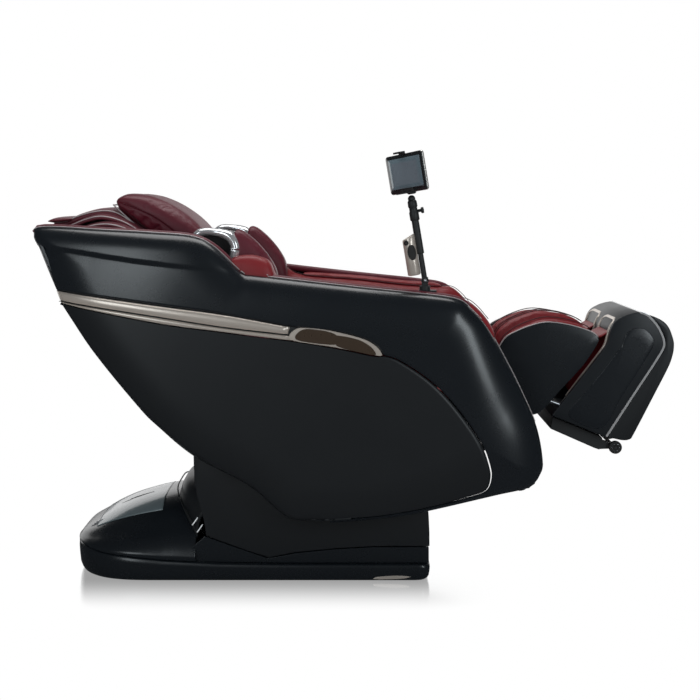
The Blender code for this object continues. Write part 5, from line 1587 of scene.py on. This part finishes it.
class CHAIR_OT_stand(bpy.types.Operator):
    """Builds the tablet, the grip on the pole and the bright legs of the stand"""

    bl_idname = "chair.stand"
    bl_label = "Tablet stand"

    def execute(self, context):
        case = tablet_slab("tablet_case", 0.0925, 0.012, 0.124, 0.0113, 0.0208, 0.009)
        dress(case, material("Tablet bezel", (0.010, 0.011, 0.012), 0.16, 0.03, Coat_Weight=0.5), "tablet",
              ["tablet_body"])
        rim = tablet_slab("tablet_edge", 0.0933, 0.0112, 0.1248, 0.0125, 0.0180, 0.0095, 0.001)
        dress(rim, material("Tablet edge", (0.62, 0.60, 0.57), 0.3, 0.05, Metallic=0.8), "tablet")
        glass = tablet_slab("tablet_screen", 0.0800, 0.0255, 0.1135, 0.0195, 0.0213, 0.003, 0.0004)
        dress(glass, screen_glass(), "tablet")
        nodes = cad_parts
        for name in ("tablet_clamp", "tablet_jaw", "tablet_joint", "stand_pole", "stand_knob"):
            nodes[name].data.materials[0] = dark_plastic()
        nodes["stand_bracket"].data.materials[0] = painted_steel()

        out = np.array([-ALONG[2], 0, ALONG[0]])
        out = out / np.linalg.norm(out) * 0.0275
        foot = STAND + out + ALONG * 0.020
        profile = [(0, 0.0), (0.014, 0.0), (0.0178, 0.0015), (0.019, 0.005), (0.019, 0.060),
                   (0.0192, 0.092), (0.0198, 0.112), (0.0188, 0.1135), (0.0172, 0.112),
                   (0.0165, 0.085), (0.0, 0.083)]
        grip = turned("grip_sleeve", profile, foot, tuple(ALONG), 56)

        def slant(points, normals):
            up = (points - foot) @ ALONG
            lean = ((points - foot) @ np.array([1.0, 0, 0.17])) * 0.42
            return ALONG[None] * (lean * np.clip((up - 0.085) / 0.028, 0, 1))[:, None]

        shape_points(grip, slant)
        dress(grip, champagne(), "pole", ["grip_holder"])
        turn = np.linspace(-0.55, 0.85, 20)
        height = np.linspace(0.046, 0.090, 16)
        side = np.cross(ALONG, [0, 1, 0])
        grid = np.zeros((16, 20, 3))
        for i, up in enumerate(height):
            squeeze = math.sqrt(max(0.0, 1 - ((up - 0.068) / 0.023) ** 2))
            a = 0.15 + (turn - 0.15) * max(squeeze, 0.05)
            spoke = np.sin(a)[:, None] * -side + np.cos(a)[:, None] * [0, -1, 0]
            grid[i] = foot + up * ALONG + 0.0196 * spoke
        insert = sheet("grip_insert", grid, 0.001, (0.3, -1, 0))
        dress(insert, rubber(), "pole")
        at = foot + ALONG * 0.098
        hole = []
        for a in np.linspace(0, 2 * math.pi, 28, endpoint=False):
            up, angle = 0.0075 * math.sin(a), -0.55 + 0.42 * math.cos(a)
            spoke = math.sin(angle) * -side + math.cos(angle) * np.array([0, -1, 0])
            hole.append(at + up * ALONG + 0.0199 * spoke)
        hole = np.array(hole)
        centre = hole.mean(axis=0)
        grid = np.stack([hole * (1 - s) + centre * s for s in (0, 0.35, 0.7, 1.0)])
        notch = from_arrays("grip_notch", grid.reshape(-1, 3), grid_faces(4, 28, False, True))
        wall = notch.modifiers.new("wall", "SOLIDIFY")
        wall.thickness = 0.001
        wall.offset = 0
        dress(notch, rubber(), "pole")
        sleeves = [
            ("pole_sleeve",
             [(0, 0.0), (0.0108, 0.0), (0.0112, 0.003), (0.0108, 0.100), (0.0096, 0.104), (0, 0.104)],
             STAND + ALONG * 0.080),
            ("pole_clamp", [(0, 0.0), (0.0125, 0.0), (0.0140, 0.003), (0.0140, 0.024),
                            (0.0120, 0.028), (0.0120, 0.038), (0.0140, 0.041), (0.0135, 0.056),
                            (0.0105, 0.060), (0, 0.060)],
             STAND + ALONG * 0.178),
        ]
        for label, profile, at in sleeves:
            dress(turned(label, profile, tuple(at), tuple(ALONG), 36), dark_plastic(), "pole")
        wing = turned("pole_wing_knob",
                      [(0, 0.0), (0.0045, 0.0), (0.0045, 0.011), (0.0085, 0.012), (0.0092, 0.015),
                       (0.0085, 0.0195), (0, 0.0205)],
                      tuple(STAND + ALONG * 0.204 + np.array([0.010, 0, 0.002])), (1, 0, 0.17), 24)
        dress(wing, dark_plastic(), "pole")
        for k, (dx, radius) in enumerate(((-0.0095, 0.0024), (0.0235, 0.0024))):
            leg = np.array([[0.192 + dx, -0.3445, 0.866], [0.192 + dx, -0.3445, 0.889]])
            dress(tube(f"stand_leg_bright_{k}", leg, radius, 10), chrome(), "body")
        knob = turned("stand_screw",
                      [(0, 0.0215), (0.004, 0.0212), (0.0052, 0.0195), (0.0052, 0.0140), (0, 0.0140)],
                      tuple(STAND), (0, -1, 0), 24)
        dress(knob, steel(), "stand_base")
        return {"FINISHED"}


class CHAIR_OT_works(bpy.types.Operator):
    """Gives the steel frame, the rails and the massage mechanism their finishes"""

    bl_idname = "chair.works"
    bl_label = "Frame and mechanism"

    def execute(self, context):
        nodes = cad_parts
        for name in ("carriage", "recline_tube", "seat_frame_left", "seat_frame_right", "cross_member",
                     "seat_pan",
                     "mech_carriage"):
            nodes[name].data.materials[0] = painted_steel()
        for name in ("pivot_shaft", "recline_rod", "track_rail_left", "track_rail_right"):
            nodes[name].data.materials[0] = steel()
        for name in ("knead_wheel_left", "knead_wheel_right"):
            nodes[name].data.materials[0] = rubber()
        return {"FINISHED"}


# The studio

def area_light(name, place, aim, size, power, tint=(1, 1, 1)):
    data = bpy.data.lights.new(name, "AREA")
    data.shape = "RECTANGLE"
    data.size, data.size_y = size
    data.energy = power
    data.color = tint
    light = bpy.data.objects.new(name, data)
    light.location = place
    light.rotation_mode = "QUATERNION"
    light.rotation_quaternion = (Vector(aim) - Vector(place)).to_track_quat("-Z", "Y")
    light.visible_camera = False
    bpy.context.scene.collection.objects.link(light)
    return light


def studio_floor():
    """White floor with a soft mirror image of the chair that fades away from the base."""
    made = bpy.data.materials.new("Pale floor")
    made.use_nodes = True
    tree = made.node_tree
    shader = tree.nodes["Principled BSDF"]
    shader.inputs["Base Color"].default_value = (0.9, 0.9, 0.9, 1)
    shader.inputs["Roughness"].default_value = 0.13
    shader.inputs["Metallic"].default_value = 1.0
    place = node(tree, "ShaderNodeTexCoord")
    centred = node(tree, "ShaderNodeVectorMath", {1: (0.33, 0.0, 0.0)}, operation="ADD")
    tree.links.new(place.outputs["Object"], centred.inputs[0])
    size = node(tree, "ShaderNodeVectorMath", operation="ABSOLUTE")
    tree.links.new(centred.outputs[0], size.inputs[0])
    past = node(tree, "ShaderNodeVectorMath", {1: (0.50, 0.26, 1.0)}, operation="SUBTRACT")
    tree.links.new(size.outputs[0], past.inputs[0])
    outside = node(tree, "ShaderNodeVectorMath", {1: (0.0, 0.0, 0.0)}, operation="MAXIMUM")
    tree.links.new(past.outputs[0], outside.inputs[0])
    far = node(tree, "ShaderNodeVectorMath", operation="LENGTH")
    tree.links.new(outside.outputs[0], far.inputs[0])
    share = node(tree, "ShaderNodeMapRange",
                 {"From Min": 0.0, "From Max": 0.34, "To Min": 0.34, "To Max": 1.0},
                 interpolation_type="SMOOTHSTEP")
    tree.links.new(far.outputs["Value"], share.inputs["Value"])
    white = node(tree, "ShaderNodeEmission", {"Strength": 1.0})
    mix = node(tree, "ShaderNodeMixShader")
    tree.links.new(share.outputs["Result"], mix.inputs[0])
    tree.links.new(shader.outputs[0], mix.inputs[1])
    tree.links.new(white.outputs[0], mix.inputs[2])
    tree.links.new(mix.outputs[0], tree.nodes["Material Output"].inputs["Surface"])
    return made


class CHAIR_OT_studio(bpy.types.Operator):
    """Sets up the pale floor, the soft lights and the camera"""

    bl_idname = "chair.studio"
    bl_label = "Studio"

    def execute(self, context):
        scene = context.scene
        scene.view_settings.view_transform = "Standard"
        scene.view_settings.look = "None"
        lens = bpy.data.cameras.new("Camera")
        lens.sensor_width = 36.0
        lens.lens = 67.68
        camera = bpy.data.objects.new("Camera", lens)
        scene.collection.objects.link(camera)
        camera.location = (-0.028, -4.2, 1.15)
        camera.rotation_mode = "QUATERNION"
        camera.rotation_quaternion = Vector((0, 4.2, -0.475)).to_track_quat("-Z", "Y")
        scene.camera = camera

        turn = np.linspace(0, 2 * math.pi, 64, endpoint=False)
        radii = np.array([0.0, 1.0, 3.0, 8.0, 20.0, 60.0])
        grid = np.stack([np.stack([r * np.cos(turn), r * np.sin(turn), np.full(64, -0.0005)],
                                  axis=1) for r in radii])
        floor = from_arrays("floor", grid.reshape(-1, 3), grid_faces(len(radii), 64, False, True))
        tidy = bmesh.new()
        tidy.from_mesh(floor.data)
        bmesh.ops.remove_doubles(tidy, verts=tidy.verts, dist=1e-5)
        tidy.to_mesh(floor.data)
        tidy.free()
        if floor.data.polygons[0].normal.z < 0:
            floor.data.flip_normals()
        floor.data.materials.append(studio_floor())
        floor.visible_glossy = False

        world = scene.world or bpy.data.worlds.new("World")
        scene.world = world
        world.use_nodes = True
        tree = world.node_tree
        tree.nodes.clear()
        seen = node(tree, "ShaderNodeBackground", {"Color": (1, 1, 1, 1), "Strength": 1.0})
        around = node(tree, "ShaderNodeBackground", {"Color": (0.94, 0.97, 1.0, 1), "Strength": 0.42})
        mirrored = node(tree, "ShaderNodeBackground", {"Color": (0.86, 0.94, 1.0, 1), "Strength": 0.035})
        path = node(tree, "ShaderNodeLightPath")
        dark = node(tree, "ShaderNodeMixShader")
        mix = node(tree, "ShaderNodeMixShader")
        out = node(tree, "ShaderNodeOutputWorld")
        tree.links.new(path.outputs["Is Glossy Ray"], dark.inputs[0])
        tree.links.new(around.outputs[0], dark.inputs[1])
        tree.links.new(mirrored.outputs[0], dark.inputs[2])
        tree.links.new(path.outputs["Is Camera Ray"], mix.inputs[0])
        tree.links.new(dark.outputs[0], mix.inputs[1])
        tree.links.new(seen.outputs[0], mix.inputs[2])
        tree.links.new(mix.outputs[0], out.inputs["Surface"])

        area_light("Overhead", (-0.2, 0.2, 3.2), (-0.1, 0, 0.6), (2.4, 1.6), 46)
        area_light("Left", (-1.75, -3.9, 1.9), (-0.5, 0, 0.8), (0.9, 2.4), 26, (0.88, 0.96, 1.0))
        area_light("Right", (2.3, -3.3, 1.6), (0.5, 0, 0.6), (0.8, 2.0), 30, (0.88, 0.96, 1.0))
        area_light("Backdrop", (0.0, 3.6, 1.15), (0, 0, 1.15), (9.0, 2.3), 70)
        return {"FINISHED"}


OPERATORS = (
    CHAIR_OT_studio, CHAIR_OT_covers, CHAIR_OT_trim, CHAIR_OT_rim, CHAIR_OT_head, CHAIR_OT_pillow,
    CHAIR_OT_shoulders, CHAIR_OT_arms, CHAIR_OT_seat, CHAIR_OT_calves, CHAIR_OT_feet, CHAIR_OT_base,
    CHAIR_OT_stand, CHAIR_OT_works,
)


class CHAIR_PT_panel(bpy.types.Panel):
    """The chair's settings and the steps that build it"""

    bl_idname = "CHAIR_PT_panel"
    bl_label = "Massage Chair"
    bl_space_type = "VIEW_3D"
    bl_region_type = "UI"
    bl_category = "Massage Chair"

    def draw(self, context):
        for group in (context.scene.chair_finishes, context.scene.chair_sizes):
            for key in group.__annotations__:
                self.layout.prop(group, key)
        for operator in OPERATORS:
            self.layout.operator(operator.bl_idname)


CLASSES = (ChairFinishes, ChairSizes, *OPERATORS, CHAIR_PT_panel)


def register():
    for made in CLASSES:
        bpy.utils.register_class(made)
    bpy.types.Scene.chair_finishes = PointerProperty(type=ChairFinishes)
    bpy.types.Scene.chair_sizes = PointerProperty(type=ChairSizes)


def unregister():
    del bpy.types.Scene.chair_sizes
    del bpy.types.Scene.chair_finishes
    for made in reversed(CLASSES):
        bpy.utils.unregister_class(made)


def main():
    register()
    for operator in OPERATORS:
        group, name = operator.bl_idname.split(".")
        getattr(getattr(bpy.ops, group), name)()


if __name__ == "__main__":
    main()
